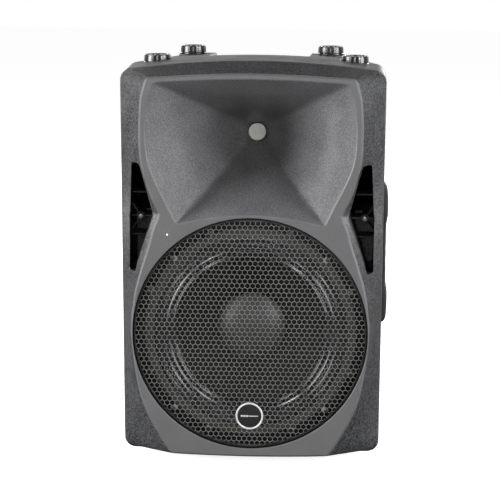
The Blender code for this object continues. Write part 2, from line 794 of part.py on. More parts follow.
def make_driver():
    """Compression driver on the horn's throat."""
    axis = at(0, THROAT_UP, 0)
    turned("throat_screen", "silver", [(THROAT_R - 0.4, 178.5), (THROAT_R - 0.4, 179.3)], axis)
    start = THROAT_DEPTH + 2.0 + GAP
    body = turned(
        "driver_body",
        "black_steel",
        [
            (THROAT_R, start),
            (FLANGE_R, start),
            (FLANGE_R, start + 6),
            (40.0, start + 6),
            (40.0, start + 18),
            (44.0, start + 20),
            (44.0, start + 44),
            (THROAT_R, start + 44),
        ],
        axis,
        steps=MIDDLE_ROUND,
        ring=True,
    )
    turned(
        "driver_cover",
        "black_plastic",
        [(36.0, start + 44 + GAP), (36.0, start + 52), (30.0, start + 60)],
        axis,
        steps=MIDDLE_ROUND,
    )
    holes = bmesh.new()
    for side in (-1, 1):
        turn(holes, [(3.4, start - 2), (3.4, start + 13)], at(side * 38.1, THROAT_UP, 0), steps=8)
    cut(body, holes, "tool_driver_holes")


# ---- amplifier ----


def make_amp_panel():
    """Aluminium panel in the back, with an opening for every socket and control."""
    panel = blocked(
        "amp_panel",
        "black_aluminium",
        ((-PANEL_HALF_X, PANEL_HALF_X), (PANEL_LOW, PANEL_HIGH), (PANEL_BACK, PANEL_FACE)),
    )
    through = (PANEL_BACK - 2, PANEL_FACE + 2)
    holes = bmesh.new()
    rounds = [(x, KNOB_UP, 3.6) for _, x in KNOBS]
    rounds += [(*INPUT_AT, 12.0), (*LINK_AT, 12.0), (*BUTTON_AT, 4.5)]
    rounds += [(x, up, 5.4) for x, up in JACKS_AT]
    rounds += [(side * SCREW_X, up, 2.2) for up in SCREW_HEIGHTS for side in (-1, 1)]
    for x, up, radius in rounds:
        steps = 8 if radius < 5 else 16
        turn(holes, [(radius, through[0]), (radius, through[1])], at(x, up, 0), steps=steps)
    windows = (
        (INLET_AT[0], INLET_AT[1], 14.5, 17.5),
        (SWITCH_AT[0], SWITCH_AT[1], 10.0, 14.0),
        (SELECTOR_AT[0], SELECTOR_AT[1], 8.5, 6.5),
        (INPUT_AT[0], INPUT_AT[1] + 16.0, 4.6, 2.6),
    )
    for x, up, half_x, half_up in windows:
        block(holes, (x - half_x, x + half_x), (up - half_up, up + half_up), through)
    cut(panel, holes, "tool_panel_holes")


def make_heatsink():
    """Finned aluminium heatsink on the outside of the panel."""
    half, base, tip, fin = 82.0, ON_PANEL + 2.5, 369.6, 2.4
    pitch = (2 * half - fin) / (FINS - 1)
    comb = [(-half, ON_PANEL), (half, ON_PANEL)]
    for i in reversed(range(FINS)):
        left = -half + pitch * i
        if i < FINS - 1:
            comb.append((left + fin, base))
        comb += [(left + fin, tip), (left, tip)]
        if i > 0:
            comb.append((left, base))
    shape = bmesh.new()
    skin(shape, [[at(x, up, depth) for x, depth in comb] for up in (-142.0, -34.0)])
    piece("heatsink", shape, "black_aluminium")


def make_amp_inside():
    """Board with its capacitors, transformer and potentiometers behind the panel."""
    board = blocked("amp_board", "board_green", ((-80, 80), (28, 132), (334.0, 335.6)))
    capacitors = bmesh.new()
    for x, up in CAPACITORS_AT:
        turn(capacitors, [(14.0, 290.0), (15.0, 291.0), (15.0, 334.8)], at(x, up, 0), steps=16)
    add(board, capacitors, "tool_capacitors")
    centre = at(*TOROID_AT, 0)
    middle_r, half_r, middle, half_depth = 34.0, 15.0, 333.0, 22.0
    ring = []
    for i in range(8):
        angle = math.tau * (i + 0.5) / 8
        ring.append((middle_r + half_r * math.cos(angle), middle + half_depth * math.sin(angle)))
    turned("toroid", "tape_yellow", ring, centre, steps=SMALL_ROUND, ring=True)
    turned(
        "toroid_clamp",
        "zinc_steel",
        [(30.0, 306.0), (30.0, 309.0), (3.0, 309.0), (3.0, PANEL_BACK - GAP)],
        centre,
    )
    bracket = ((-80, 80), (KNOB_UP - 7, KNOB_UP + 7), (345.0, 348.0))
    potentiometers = blocked("potentiometers", "zinc_steel", bracket)
    pots = bmesh.new()
    for _, x in KNOBS:
        profile = [(8.5, 346.0), (8.5, PANEL_BACK - GAP), (3.0, PANEL_BACK - GAP), (3.0, 366.2)]
        turn(pots, profile, at(x, KNOB_UP, 0), steps=12)
    add(potentiometers, pots, "tool_pots")


def make_controls():
    """Knobs, push button, power switch and voltage selector."""
    for name, x in KNOBS:
        centre = at(x, KNOB_UP, 0)
        profile = [(6.0, 369.6), (6.8, 368.8), (7.6, 359.8), (3.3, 359.8), (3.3, 366.8)]
        knob = turned(name, "black_plastic", profile, centre, steps=16)
        pivot(name + "_axis", centre, knob)
    button = turned(
        "push_button",
        "black_plastic",
        [(4.0, 352.0), (4.0, 365.5), (3.4, 366.0)],
        at(*BUTTON_AT, 0),
        steps=16,
    )
    pivot("push_button_axis", at(*BUTTON_AT, 0), button)

    x, up = SWITCH_AT
    spans = ((x - 9.6, x + 9.6), (up - 13.6, up + 13.6), (341.0, 358.9))
    frame = blocked("switch_frame", "black_plastic", spans)
    flange = bmesh.new()
    block(flange, (x - 12, x + 12), (up - 16, up + 16), (ON_PANEL, 360.8))
    add(frame, flange, "tool_switch_flange")
    link = bmesh.new()
    block(link, (x - 9.6, x + 9.6), (up - 13.6, up + 13.6), (355.0, 360.0))
    add(frame, link, "tool_switch_neck")
    well = bmesh.new()
    block(well, (x - 7.2, x + 7.2), (up - 11.2, up + 11.2), (344.0, 365.0))
    cut(frame, well, "tool_switch_well")
    section = ((-9.2, 7.5), (0, 5.6), (9.2, 7.5), (9.2, 1.0), (0, -4.5), (-9.2, 1.0))
    cos, sin = math.cos(-SWITCH_TILT), math.sin(-SWITCH_TILT)
    rings = []
    for edge_x in (x - 6.8, x + 6.8):
        ring = [(h * cos + d * sin, d * cos - h * sin) for h, d in section]
        rings.append([at(edge_x, up + h, SWITCH_PIVOT + d) for h, d in ring])
    shape = bmesh.new()
    skin(shape, rings)
    rocker = piece("switch_rocker", shape, "red_plastic")
    pivot("switch_axis", at(x, up, SWITCH_PIVOT), rocker)

    x, up = SELECTOR_AT
    spans = ((x - 8.2, x + 8.2), (up - 6.2, up + 6.2), (346.0, 360.8))
    selector = blocked("selector_frame", "black_plastic", spans)
    rim = bmesh.new()
    block(rim, (x - 12, x + 12), (up - 8.5, up + 8.5), (ON_PANEL, 360.9))
    add(selector, rim, "tool_selector_flange")
    slot = bmesh.new()
    block(slot, (x - 5.6, x + 5.6), (up - 3.6, up + 3.6), (350.0, 365.0))
    cut(selector, slot, "tool_selector_slot")
    spans = ((x - 5.2, x + 0.4), (up - 3.2, up + 3.2), (351.0, 360.0))
    slider = blocked("selector_slider", "red_plastic", spans)
    pivot("selector_axis", at(x - 2.4, up, 355.5), slider)


def make_sockets():
    """Input, link and line sockets, and the mains inlet with its fuse drawer."""
    turned(
        "input_socket",
        "black_plastic",
        [
            (3.3, 342.0),
            (3.3, 360.2),
            (8.0, 360.2),
            (8.0, 347.0),
            (9.7, 347.0),
            (9.7, 361.2),
            (13.0, 361.2),
            (13.0, ON_PANEL),
            (11.5, ON_PANEL),
            (11.5, 342.0),
        ],
        at(*INPUT_AT, 0),
        steps=SMALL_ROUND,
        ring=True,
    )
    x, up = INPUT_AT[0], INPUT_AT[1] + 16.0
    latch = blocked("socket_latch", "zinc_steel", ((x - 4, x + 4), (up - 2, up + 2), (351.0, 363.0)))
    pivot("latch_axis", at(x, up, 357.0), latch)
    link = turned(
        "link_socket",
        "black_plastic",
        [(11.5, 342.0), (11.5, ON_PANEL), (13.0, ON_PANEL), (13.0, 361.2), (9.5, 361.2), (9.5, 347.0)],
        at(*LINK_AT, 0),
        steps=SMALL_ROUND,
    )
    pins = bmesh.new()
    for degrees in (210.0, 330.0, 90.0):
        angle = math.radians(degrees)
        centre = at(LINK_AT[0] + 4.6 * math.cos(angle), LINK_AT[1] + 4.6 * math.sin(angle), 0)
        turn(pins, [(1.2, 346.0), (1.2, 356.2)], centre, steps=8)
    add(link, pins, "tool_link_pins")
    (first_x, jack_up), (second_x, _) = JACKS_AT
    plate = ((second_x - 8, first_x + 8), (jack_up - 8, jack_up + 8), (ON_PANEL, 361.0))
    jacks = blocked("line_jacks", "black_plastic", plate)
    barrels = bmesh.new()
    bores = bmesh.new()
    for x, up in JACKS_AT:
        turn(barrels, [(5.0, 342.0), (5.0, 360.0)], at(x, up, 0), steps=16)
        turn(bores, [(3.3, 340.0), (3.3, 364.0)], at(x, up, 0), steps=12)
    add(jacks, barrels, "tool_jack_barrels")
    cut(jacks, bores, "tool_jack_bores")

    x, up = INLET_AT
    spans = ((x - 14.0, x + 14.0), (up - 17.0, up + 17.0), (334.0, 360.0))
    inlet = blocked("mains_inlet", "black_plastic", spans)
    plate = bmesh.new()
    block(plate, (x - 20, x + 20), (up - 20, up + 20), (ON_PANEL, 361.0))
    add(inlet, plate, "tool_inlet_plate")
    well = bmesh.new()
    block(well, (x - 12, x + 12), (up - 1.0, up + 15.0), (341.0, 370.0))
    block(well, (x - 10.5, x + 10.5), (up - 13.2, up - 4.8), (336.0, 370.0))
    cut(inlet, well, "tool_inlet_wells")
    blades = bmesh.new()
    for blade_x, blade_up in ((-7.0, 5.0), (0.0, 9.0), (7.0, 5.0)):
        block(
            blades,
            (x + blade_x - 1.0, x + blade_x + 1.0),
            (up + blade_up - 2.0, up + blade_up + 2.0),
            (340.0, 355.0),
        )
    add(inlet, blades, "tool_inlet_blades")
    drawer_shape = bmesh.new()
    outline = ((339.0, 10.0, 3.8), (361.3, 10.0, 3.8), (361.3, 11.5, 5.0), (363.0, 11.5, 5.0))
    skin(
        drawer_shape,
        [
            [at(x + a * w, up - 9.0 + b * h, depth) for a, b in ((-1, -1), (1, -1), (1, 1), (-1, 1))]
            for depth, w, h in outline
        ],
    )
    drawer = piece("fuse_drawer", drawer_shape, "black_plastic")
    pivot("fuse_axis", at(x, up - 9.0, 350.0), drawer)


# ---- handles, feet, pole socket and wiring ----


def make_handles():
    """Top grip across its pocket, and a bar over each side pocket."""
    middle = (POCKET_FRONT + POCKET_BACK) / 2
    rings = []
    for x, lift, half in ((-71.6, 0, 15), (-50, 1.5, 13), (50, 1.5, 13), (71.6, 0, 15)):
        low, high = 338.0 + lift, 356.0
        section = (
            (half, low + 5),
            (half, high - 5),
            (half - 5, high),
            (5 - half, high),
            (-half, high - 5),
            (-half, low + 5),
            (5 - half, low),
            (half - 5, low),
        )
        rings.append([at(x, up, middle + d) for d, up in section])
    shape = bmesh.new()
    skin(shape, rings)
    piece("top_grip", shape, "rubber")

    def surface(depth):
        return half_width(depth) + GAP + 0.2

    for side in (-1, 1):
        rings = []
        bar = (
            (HANDLE_LOW, 1.5, 0.8),
            (HANDLE_LOW + 8, 5.5, 1.0),
            (34.0, 6.5, 1.0),
            (46.0, 4.2, 0.85),
            (134.0, 4.2, 0.85),
            (146.0, 6.5, 1.0),
            (HANDLE_HIGH - 8, 5.5, 1.0),
            (HANDLE_HIGH, 1.5, 0.8),
        )
        for up, height, width in bar:
            near, far = HANDLE_DEPTH - 15 * width, HANDLE_DEPTH + 15 * width
            out = HANDLE_OUT - 6.5 + height
            section = (
                (surface(near), near),
                (out - 2.0, near),
                (out, near + 4),
                (out, far - 4),
                (out - 2.0, far),
                (surface(far), far),
            )
            rings.append([at(side * x, up, depth) for x, depth in section])
        shape = bmesh.new()
        skin(shape, rings)
        label = "left" if side < 0 else "right"
        handle = piece("side_handle_" + label, shape, "rubber")
        holes = bmesh.new()
        for up in HANDLE_SCREWS:
            centre = at(0, up, HANDLE_DEPTH)
            turn(
                holes,
                [(2.6, side * 170), (2.6, side * 185), (5.0, side * 185), (5.0, side * 195)],
                centre,
                "X",
                12,
            )
        cut(handle, holes, "tool_handle_holes_" + label)


def make_foot(name, x, depth, base, way):
    """Rubber foot with a recess for its screw. It points up (way 1) or down (way -1) from its base."""
    profile = [
        (2.6, 0.0),
        (FOOT_R, 0.0),
        (FOOT_R - 0.7, FOOT_HEIGHT - 2.0),
        (FOOT_R - 2.2, FOOT_HEIGHT),
        (8.0, FOOT_HEIGHT),
        (8.0, 5.0),
        (2.6, 5.0),
    ]
    profile = [(radius, way * along) for radius, along in profile]
    turned(name, "rubber", profile, at(x, base, depth), "Z", 14, ring=True)


def make_feet():
    """Four rubber feet on the top and four on the bottom."""
    for side, label in ((-1, "left"), (1, "right")):
        for (x, depth), end in zip(TOP_FEET, ("front", "rear")):
            make_foot(f"top_foot_{end}_{label}", side * x, depth, TOP_SEAT + GAP, 1)
        for (x, depth), end in zip(BOTTOM_FEET, ("front", "rear")):
            make_foot(f"foot_{end}_{label}", side * x, depth, BOTTOM - GAP, -1)


def make_pole_socket():
    """Socket in the underside for a stand pole, open downwards."""
    turned(
        "pole_socket",
        "black_plastic",
        [
            (POLE_R + POLE_WALL, POLE_LENGTH + POLE_WALL),
            (POLE_R + POLE_WALL, 0),
            (40.0, 0),
            (40.0, -2.5),
            (POLE_R, -2.5),
            (POLE_R, POLE_LENGTH),
        ],
        at(0, BOTTOM - GAP, POLE_DEPTH),
        "Z",
        32,
    )


def smooth_route(points, per_span=3):
    """Points along a smooth curve through the given ones."""
    padded = [points[0]] + list(points) + [points[-1]]
    route = []
    for a, b, c, d in zip(padded, padded[1:], padded[2:], padded[3:]):
        for step in range(per_span):
            t = step / per_span
            bend = 2 * a - 5 * b + 4 * c - d
            twist = 3 * b - a - 3 * c + d
            route.append((2 * b + (c - a) * t + bend * t * t + twist * t**3) / 2)
    return route + [points[-1]]


def make_cable(name, points):
    """An internal lead: a round tube along a smooth route."""
    curve = bpy.data.curves.new(name, "CURVE")
    curve.dimensions = "3D"
    curve.bevel_depth = CABLE_R * MM
    curve.bevel_resolution = 2
    curve.use_fill_caps = True
    route = smooth_route(points)
    spline = curve.splines.new("POLY")
    spline.points.add(len(route) - 1)
    for slot, point in zip(spline.points, route):
        slot.co = (*point, 1)
    curve.materials.append(look("wire_red"))
    cable = bpy.data.objects.new(name, curve)
    bpy.context.scene.collection.objects.link(cable)


def make_cables():
    """Leads from the amplifier's board to the woofer and to the compression driver."""
    to_woofer = (
        (-55, 45, 333.0),
        (-55, 45, 322),
        (-55, 44, 310),
        (-60, 10, 270),
        (-75, -60, 200),
        (-50, -112, 135),
        (-22, -118, 108),
        (-9.5, -108, 99),
        (-9.5, -108, 93.2),
    )
    to_driver = (
        (55, 110, 333.0),
        (55, 110, 322),
        (56, 112, 312),
        (70, 150, 285),
        (76, 210, 262),
        (68, 250, 240),
        (55, THROAT_UP, 222),
        (47, THROAT_UP, 218),
    )
    make_cable("woofer_cable", [at(*place) for place in to_woofer])
    make_cable("driver_cable", [at(*place) for place in to_driver])


def main():
    for old in list(bpy.data.objects):
        bpy.data.objects.remove(old)
    make_front_baffle()
    make_horn()
    make_port_duct("port_duct_left", -1)
    make_port_duct("port_duct_right", 1)
    make_rear_shell()
    make_shell_seal()
    make_port_screw("port_screw_left", -1)
    make_port_screw("port_screw_right", 1)
    make_grille()
    make_badge_and_led()
    make_woofer_frame()
    make_woofer_motor()
    make_driver()
    make_amp_panel()
    make_heatsink()
    make_amp_inside()
    make_controls()
    make_sockets()
    make_handles()
    make_feet()
    make_pole_socket()
    make_cables()


main()
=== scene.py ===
"""Looks of the PA speaker cabinet: fine surfaces, materials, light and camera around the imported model.

Lengths are millimetres, measured across, up from the woofer's axis and back from the front plane.
at() turns them into world metres.
"""

import math

import bmesh
import bpy
from mathutils import Matrix, Vector


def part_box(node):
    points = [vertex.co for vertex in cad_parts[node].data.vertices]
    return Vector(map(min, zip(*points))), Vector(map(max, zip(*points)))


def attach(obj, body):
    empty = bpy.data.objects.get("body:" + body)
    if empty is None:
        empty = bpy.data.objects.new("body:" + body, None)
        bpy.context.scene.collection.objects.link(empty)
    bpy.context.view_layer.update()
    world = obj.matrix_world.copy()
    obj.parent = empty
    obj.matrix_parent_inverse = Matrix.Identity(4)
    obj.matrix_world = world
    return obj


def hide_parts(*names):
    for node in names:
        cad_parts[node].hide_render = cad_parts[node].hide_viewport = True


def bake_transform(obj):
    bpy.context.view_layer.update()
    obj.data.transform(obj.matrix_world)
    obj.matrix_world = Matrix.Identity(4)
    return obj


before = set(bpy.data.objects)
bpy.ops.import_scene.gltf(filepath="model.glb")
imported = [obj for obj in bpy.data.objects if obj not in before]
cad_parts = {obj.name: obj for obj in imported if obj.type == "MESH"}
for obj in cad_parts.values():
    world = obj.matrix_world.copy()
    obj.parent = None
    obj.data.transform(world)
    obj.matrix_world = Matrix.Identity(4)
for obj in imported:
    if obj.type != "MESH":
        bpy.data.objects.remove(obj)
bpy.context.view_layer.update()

MM = 0.001
BOX = {name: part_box(name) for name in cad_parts}
FRONT_Y = BOX["front_baffle"][0].y
AXIS_Z = (BOX["woofer_cone"][0].z + BOX["woofer_cone"][1].z) / 2
DEPTH = (BOX["rear_shell"][1].y - FRONT_Y) / MM
ROUND = 96  # sides of large round pieces
SMALL = 32  # sides of small round pieces

# Enclosure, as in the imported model
BOTTOM = -175.7
FACE_WALL, FACE_SHRINK, RIM_DEPTH, RIM_LIP = 8.0, 0.955, 45.0, 3.0
SHELL_START, SHELL_WALL = 46.6, 5.0
BELT_START, BELT_END = 53.0, 133.0
RIM_HALF, BELT_HALF, REAR_HALF = 178.8, 181.5, 128.0
FOOT_NARROWING, TOP_CORNER, BOTTOM_CORNER, GROOVE = 2.8, 16.0, 14.0, 0.5
RECESS_R, RECESS_FLOOR, CUP_R, SHELF_BACK, CUTOUT_R = 161.0, 22.0, 163.5, 30.0, 141.0
GRILLE_R, GRILLE_FRONT, BOLT_CIRCLE = 159.6, 2.6, 149.0
GRILLE_PITCH, GRILLE_WEB, GRILLE_SHEET, GRILLE_EDGE = 7.1, 0.62, 0.6, 1.6
BADGE_UP, BADGE_R = -115.0, 19.0
LED_AT = (-112.7, 137.3)
THROAT_R, THROAT_UP, THROAT_DEPTH = 12.7, 257.4, 182.0
HORN_WALL, HORN_FLARE, FLANGE_R = 3.5, 0.15, 45.0
CREASE_MIN, CREASE_RISE = 3.0, 2.0  # how far the rounding of the horn's creases reaches
DUCT_WALL, DUCT_BACK = 3.0, 118.0
PORT_RIBS, PORT_BOSS_X = (186.0, 153.0, 127.0), 155.0
CONE_R, PLEAT_OUT, PLEAT_IN, PLEATS, PLEAT_RISE = 110.0, 133.5, 102.0, 4, 3.6
PANEL_X, PANEL_LOW, PANEL_HIGH = 100.0, -155.0, 145.0
PANEL_BACK, PANEL_FACE, ON_PANEL = 356.3, 358.8, 359.1
KNOBS = (("knob_mic", -66.0), ("knob_line", -22.0), ("knob_bass", 22.0), ("knob_treble", 66.0))
KNOB_BODY = {
    "knob_mic": "mic_control",
    "knob_line": "line_control",
    "knob_bass": "bass_control",
    "knob_treble": "treble_control",
}
KNOB_UP = 120.0
INPUT_AT, LINK_AT, JACKS_AT = (58.0, 72.0), (14.0, 72.0), ((-22.0, 72.0), (-48.0, 72.0))
BUTTON_AT, INLET_AT, SWITCH_AT, SELECTOR_AT = (-76.0, 72.0), (-55.0, 2.0), (0.0, 2.0), (52.0, 2.0)
SWITCH_PIVOT, SWITCH_TILT = 353.0, math.radians(10)
SCREW_HEIGHTS, SCREW_X = (-149.0, -53.0, 43.0, 139.0), 94.0
FINS = 13
POCKET_HALF, POCKET_FRONT, POCKET_BACK, POCKET_FLOOR = 72.0, 185.0, 262.0, 312.0
CHANNEL_FLOOR, POCKET_WALL = 350.0, 4.0
SIDE_POCKET = (124.0, 182.0, 30.0, 150.0, 146.0)
HANDLE_LOW, HANDLE_LENGTH, HANDLE_OUT, HANDLE_DEPTH = -10.0, 200.0, 188.5, 151.0
HANDLE_SCREWS = (12.0, 168.0)
FOOT_HEIGHT, FOOT_R = 12.0, 19.2
TOP_FEET = ("top_foot_front_right", "top_foot_rear_right")
BOTTOM_FEET = ("foot_front_right", "foot_rear_right")
TOP_SEAT, PAD_R, PAD_REACH = 358.5, 21.5, 33.0
POLE_DEPTH, POLE_R, POLE_WALL, POLE_LENGTH = 190.0, 18.0, 4.0, 76.0

# Right half of the front: a point (x, up) of the raised face and the rim point it slopes back to.
STATIONS = (
    ((0.0, 356.7), (0.0, 369.7)),
    ((34.0, 356.2), (40.0, 369.0)),
    ((67.7, 354.9), (80.0, 366.9)),
    ((105.0, 353.0), (125.0, 362.8)),
    ((136.0, 351.0), (160.5, 358.4)),
    ((141.2, 348.6), (168.5, 356.3)),
    ((143.8, 343.0), (174.6, 351.4)),
    ((146.6, 333.0), (177.6, 343.5)),
    ((149.5, 320.0), (178.8, 334.0)),
    ((151.6, 281.0), (178.8, 285.0)),
    ((150.0, 240.0), (178.8, 240.0)),
    ((144.4, 212.4), (178.8, 212.4)),
    ((134.3, 185.6), (178.8, 185.6)),
    ((127.0, 170.4), (178.8, 170.4)),
    ((125.3, 165.0), (178.8, 165.0)),
    ((126.9, 159.2), (178.8, 159.2)),
    ((132.9, 144.3), (178.7, 144.3)),
    ((138.9, 121.8), (178.6, 121.8)),
    ((148.9, 91.2), (178.4, 91.2)),
    ((158.4, 55.2), (178.1, 53.0)),
    ((163.4, 7.7), (177.6, 5.0)),
    ((158.3, -50.8), (177.0, -55.0)),
    ((150.4, -89.8), (176.6, -98.0)),
    ((138.3, -120.7), (176.2, -135.0)),
    ((123.5, -148.0), (175.7, -158.0)),
    ((113.0, -165.0), (172.4, -168.0)),
    ((107.0, -170.6), (163.0, -172.6)),
    ((50.0, -172.9), (75.0, -174.9)),
    ((0.0, -173.5), (0.0, BOTTOM)),
)

# Right half of the horn's mouth (x, up) and the direction in degrees of its point on the throat.
MOUTH_TOP = (((0.0, 348.9), 90.0), ((67.7, 347.0), 68.0), ((130.4, 343.2), 45.0))
MOUTH_SIDE = (
    ((130.4, 343.2), 45.0),
    ((138.2, 320.0), 30.0),
    ((142.6, 280.0), 12.0),
    ((140.0, 240.6), -5.0),
    ((130.6, 212.5), -20.0),
    ((117.2, 185.5), -33.0),
    ((101.0, 151.5), -45.0),
)
MOUTH_LOW = (((101.0, 151.5), -45.0), ((51.6, 161.8), -68.0), ((0.0, 165.9), -90.0))

# Right port's opening (x, up) with the radius of each corner.
PORT = (
    ((151.5, 232.5), 5.0),
    ((162.8, 233.0), 5.0),
    ((167.0, 157.0), 60.0),
    ((166.8, 84.0), 2.5),
    ((158.0, 83.0), 3.0),
    ((155.0, 97.0), 20.0),
    ((145.2, 127.7), 30.0),
    ((133.0, 163.6), 12.0),
    ((141.4, 196.6), 40.0),
)


# ---- places and outlines ----


def at(x, up, depth):
    """A world point."""
    return Vector((x * MM, FRONT_Y + depth * MM, AXIS_Z + up * MM))


def from_above(x, depth, up):
    """A world point, for outlines drawn on a horizontal plane."""
    return at(x, up, depth)


def from_side(depth, up, x):
    """A world point, for outlines drawn on the side of the object."""
    return at(x, up, depth)


def mix(low, high, share):
    """A value between two others."""
    return low + (high - low) * share


def rounded(points, radii, steps=4, closed=True):
    """Rounds the corners of a line of points. Every corner gives the same number of points."""
    points = [Vector(p) for p in points]
    radii = radii if isinstance(radii, (list, tuple)) else [radii] * len(points)
    line = []
    for i, (corner, radius) in enumerate(zip(points, radii)):
        at_end = not closed and i in (0, len(points) - 1)
        if at_end or radius <= 0:
            line.append(corner)
            continue
        before = points[i - 1] - corner
        after = points[(i + 1) % len(points)] - corner
        angle = max(before.angle(after), 0.2)
        reach = min(radius / math.tan(angle / 2), 0.49 * before.length, 0.49 * after.length)
        start = corner + before.normalized() * reach
        end = corner + after.normalized() * reach
        for step in range(steps + 1):
            t = step / steps
            line.append(start * (1 - t) ** 2 + corner * 2 * t * (1 - t) + end * t * t)
    return line


def smooth(points, per_span=5):
    """A smooth line through the points."""
    points = [Vector(p) for p in points]
    padded = [2 * points[0] - points[1]] + points + [2 * points[-1] - points[-2]]
    line = []
    for a, b, c, d in zip(padded, padded[1:], padded[2:], padded[3:]):
        near = min(1.0, (c - b).length / max((b - a).length, 1e-6))
        far = min(1.0, (c - b).length / max((d - c).length, 1e-6))
        leave, arrive = (c - a) / 2 * near, (d - b) / 2 * far
        for step in range(per_span):
            t = step / per_span
            line.append(
                b * (2 * t**3 - 3 * t**2 + 1)
                + leave * (t**3 - 2 * t**2 + t)
                + c * (3 * t**2 - 2 * t**3)
                + arrive * (t**3 - t**2)
            )
    return line + [points[-1]]


def both_sides(half):
    """A closed clockwise outline from its right half, from the top centre to the bottom centre."""
    half = [tuple(p) for p in half]
    return half + [(-x, *rest) for x, *rest in reversed(half[1:-1])]


def inset(outline, amount):
    """Moves each side of a clockwise outline inwards by the amount."""
    if amount == 0:
        return [tuple(p) for p in outline]
    moved = []
    for i, point in enumerate(outline):
        here = Vector(point)
        arriving = (here - Vector(outline[i - 1])).normalized()
        leaving = (Vector(outline[(i + 1) % len(outline)]) - here).normalized()
        side = Vector((arriving.y, -arriving.x))
        inwards = (side + Vector((leaving.y, -leaving.x))).normalized()
        moved.append(tuple(here + inwards * amount / max(0.6, inwards.dot(side))))
    return moved


def rect(u0, u1, v0, v1, radius=0.0, steps=5):
    """A clockwise rectangle with round corners."""
    corners = ((u0, v1), (u1, v1), (u1, v0), (u0, v0))
    return [tuple(p) for p in rounded(corners, radius, steps)]


def circle(u, v, radius, steps=SMALL):
    """A clockwise circle."""
    angles = [-math.tau * i / steps for i in range(steps)]
    return [(u + radius * math.cos(a), v + radius * math.sin(a)) for a in angles]


def places_round(radius, count, start):
    """Points (x, up) spread evenly round the woofer's axis, from an angle in degrees."""
    angles = [math.radians(start + 360 * i / count) for i in range(count)]
    return [(radius * math.cos(a), radius * math.sin(a)) for a in angles]


def foot_place(node):
    """Distance of a foot from the middle, and its depth."""
    low, high = BOX[node]
    return (low.x + high.x) / 2 / MM, ((low.y + high.y) / 2 - FRONT_Y) / MM


def pairs(feet):
    """Left and right places of some feet, from the nodes on the right."""
    places = [foot_place(node) for node in feet]
    return [(side * x, depth) for x, depth in places for side in (-1, 1)]


# ---- meshes ----


def skin(shape, rings, closed=False, look_index=0, caps=(True, True)):
    """Joins rings of equally many points, and caps the ends unless they close on themselves."""
    loops = [[shape.verts.new(point) for point in ring] for ring in rings]
    spans = list(zip(loops, loops[1:]))
    if closed:
        spans.append((loops[-1], loops[0]))
    faces = []
    for first, second in spans:
        for i, corner in enumerate(first):
            j = (i + 1) % len(first)
            faces.append(shape.faces.new((corner, first[j], second[j], second[i])))
    if not closed:
        ends = ((loops[0], caps[0]), (loops[-1], caps[1]))
        faces += [shape.faces.new(loop) for loop, wanted in ends if wanted]
    for face in faces:
        face.material_index = look_index
    return faces


def turn(shape, profile, centre, axis="Y", steps=SMALL, ring=False, look_index=0, wave=None):
    """Turns a profile of (radius, distance along the axis). wave(angle) scales the radius."""
    u, v, along = {
        "X": (Vector((0, 1, 0)), Vector((0, 0, 1)), Vector((1, 0, 0))),
        "Y": (Vector((0, 0, 1)), Vector((1, 0, 0)), Vector((0, 1, 0))),
        "Z": (Vector((1, 0, 0)), Vector((0, 1, 0)), Vector((0, 0, 1))),
    }[axis]
    angles = [math.tau * i / steps for i in range(steps)]
    rings = []
    for radius, distance in profile:
        middle = centre + along * distance * MM
        reach = [radius * MM * (wave(a) if wave else 1) for a in angles]
        rings.append([middle + (u * math.cos(a) + v * math.sin(a)) * r for a, r in zip(angles, reach)])
    return skin(shape, rings, closed=ring, look_index=look_index)


def slab(shape, outline, start, end, soft=0.5, place=at, steps=3, look_index=0):
    """Extrudes an outline, with both rims rounded over."""
    way = 1 if end > start else -1
    turns = [math.pi / 2 * j / steps for j in range(steps + 1)]
    near = [(soft * (1 - math.sin(a)), start + way * soft * (1 - math.cos(a))) for a in turns]
    far = [(soft * (1 - math.sin(a)), end - way * soft * (1 - math.cos(a))) for a in reversed(turns)]
    rings = [[place(u, v, w) for u, v in inset(outline, amount)] for amount, w in near + far]
    return skin(shape, rings, look_index=look_index)


def well(shape, outline, surface, end, lip=1.0, place=at, way=1, over=4.0, steps=4, look_index=0):
    """A cutter whose rim rounds over the edge that it leaves in a surface."""

    def height(u, v):
        return surface(u, v) if callable(surface) else surface

    rings = [[place(u, v, height(u, v) - way * over) for u, v in inset(outline, -lip)]]
    for j in range(steps + 1):
        a = math.pi / 2 * j / steps
        grown = inset(outline, -lip * (1 - math.sin(a)))
        drop = way * (lip * (1 - math.cos(a)) - 0.02)
        rings.append([place(u, v, height(u, v) + drop) for u, v in grown])
    rings.append([place(u, v, end) for u, v in outline])
    return skin(shape, rings, look_index=look_index)


def raw(name, shape, *looks):
    """An object from a finished shape."""
    bmesh.ops.recalc_face_normals(shape, faces=shape.faces[:])
    mesh = bpy.data.meshes.new(name)
    shape.to_mesh(mesh)
    shape.free()
    for item in looks:
        mesh.materials.append(look(item))
    made = bpy.data.objects.new(name, mesh)
    bpy.context.scene.collection.objects.link(made)
    return made


def carve(target, shape, operation="DIFFERENCE"):
    """Cuts or adds a shape, and keeps the result as the target's mesh."""
    tool = raw("tool", shape)
    modifier = target.modifiers.new("carve", "BOOLEAN")
    modifier.operation = operation
    modifier.solver = "EXACT"
    modifier.material_mode = "INDEX"
    modifier.object = tool
    bpy.context.view_layer.update()
    view = bpy.context.evaluated_depsgraph_get()
    made = bpy.data.meshes.new_from_object(target.evaluated_get(view))
    target.modifiers.clear()
    old, target.data = target.data, made
    bpy.data.meshes.remove(old)
    old = tool.data
    bpy.data.objects.remove(tool)
    bpy.data.meshes.remove(old)


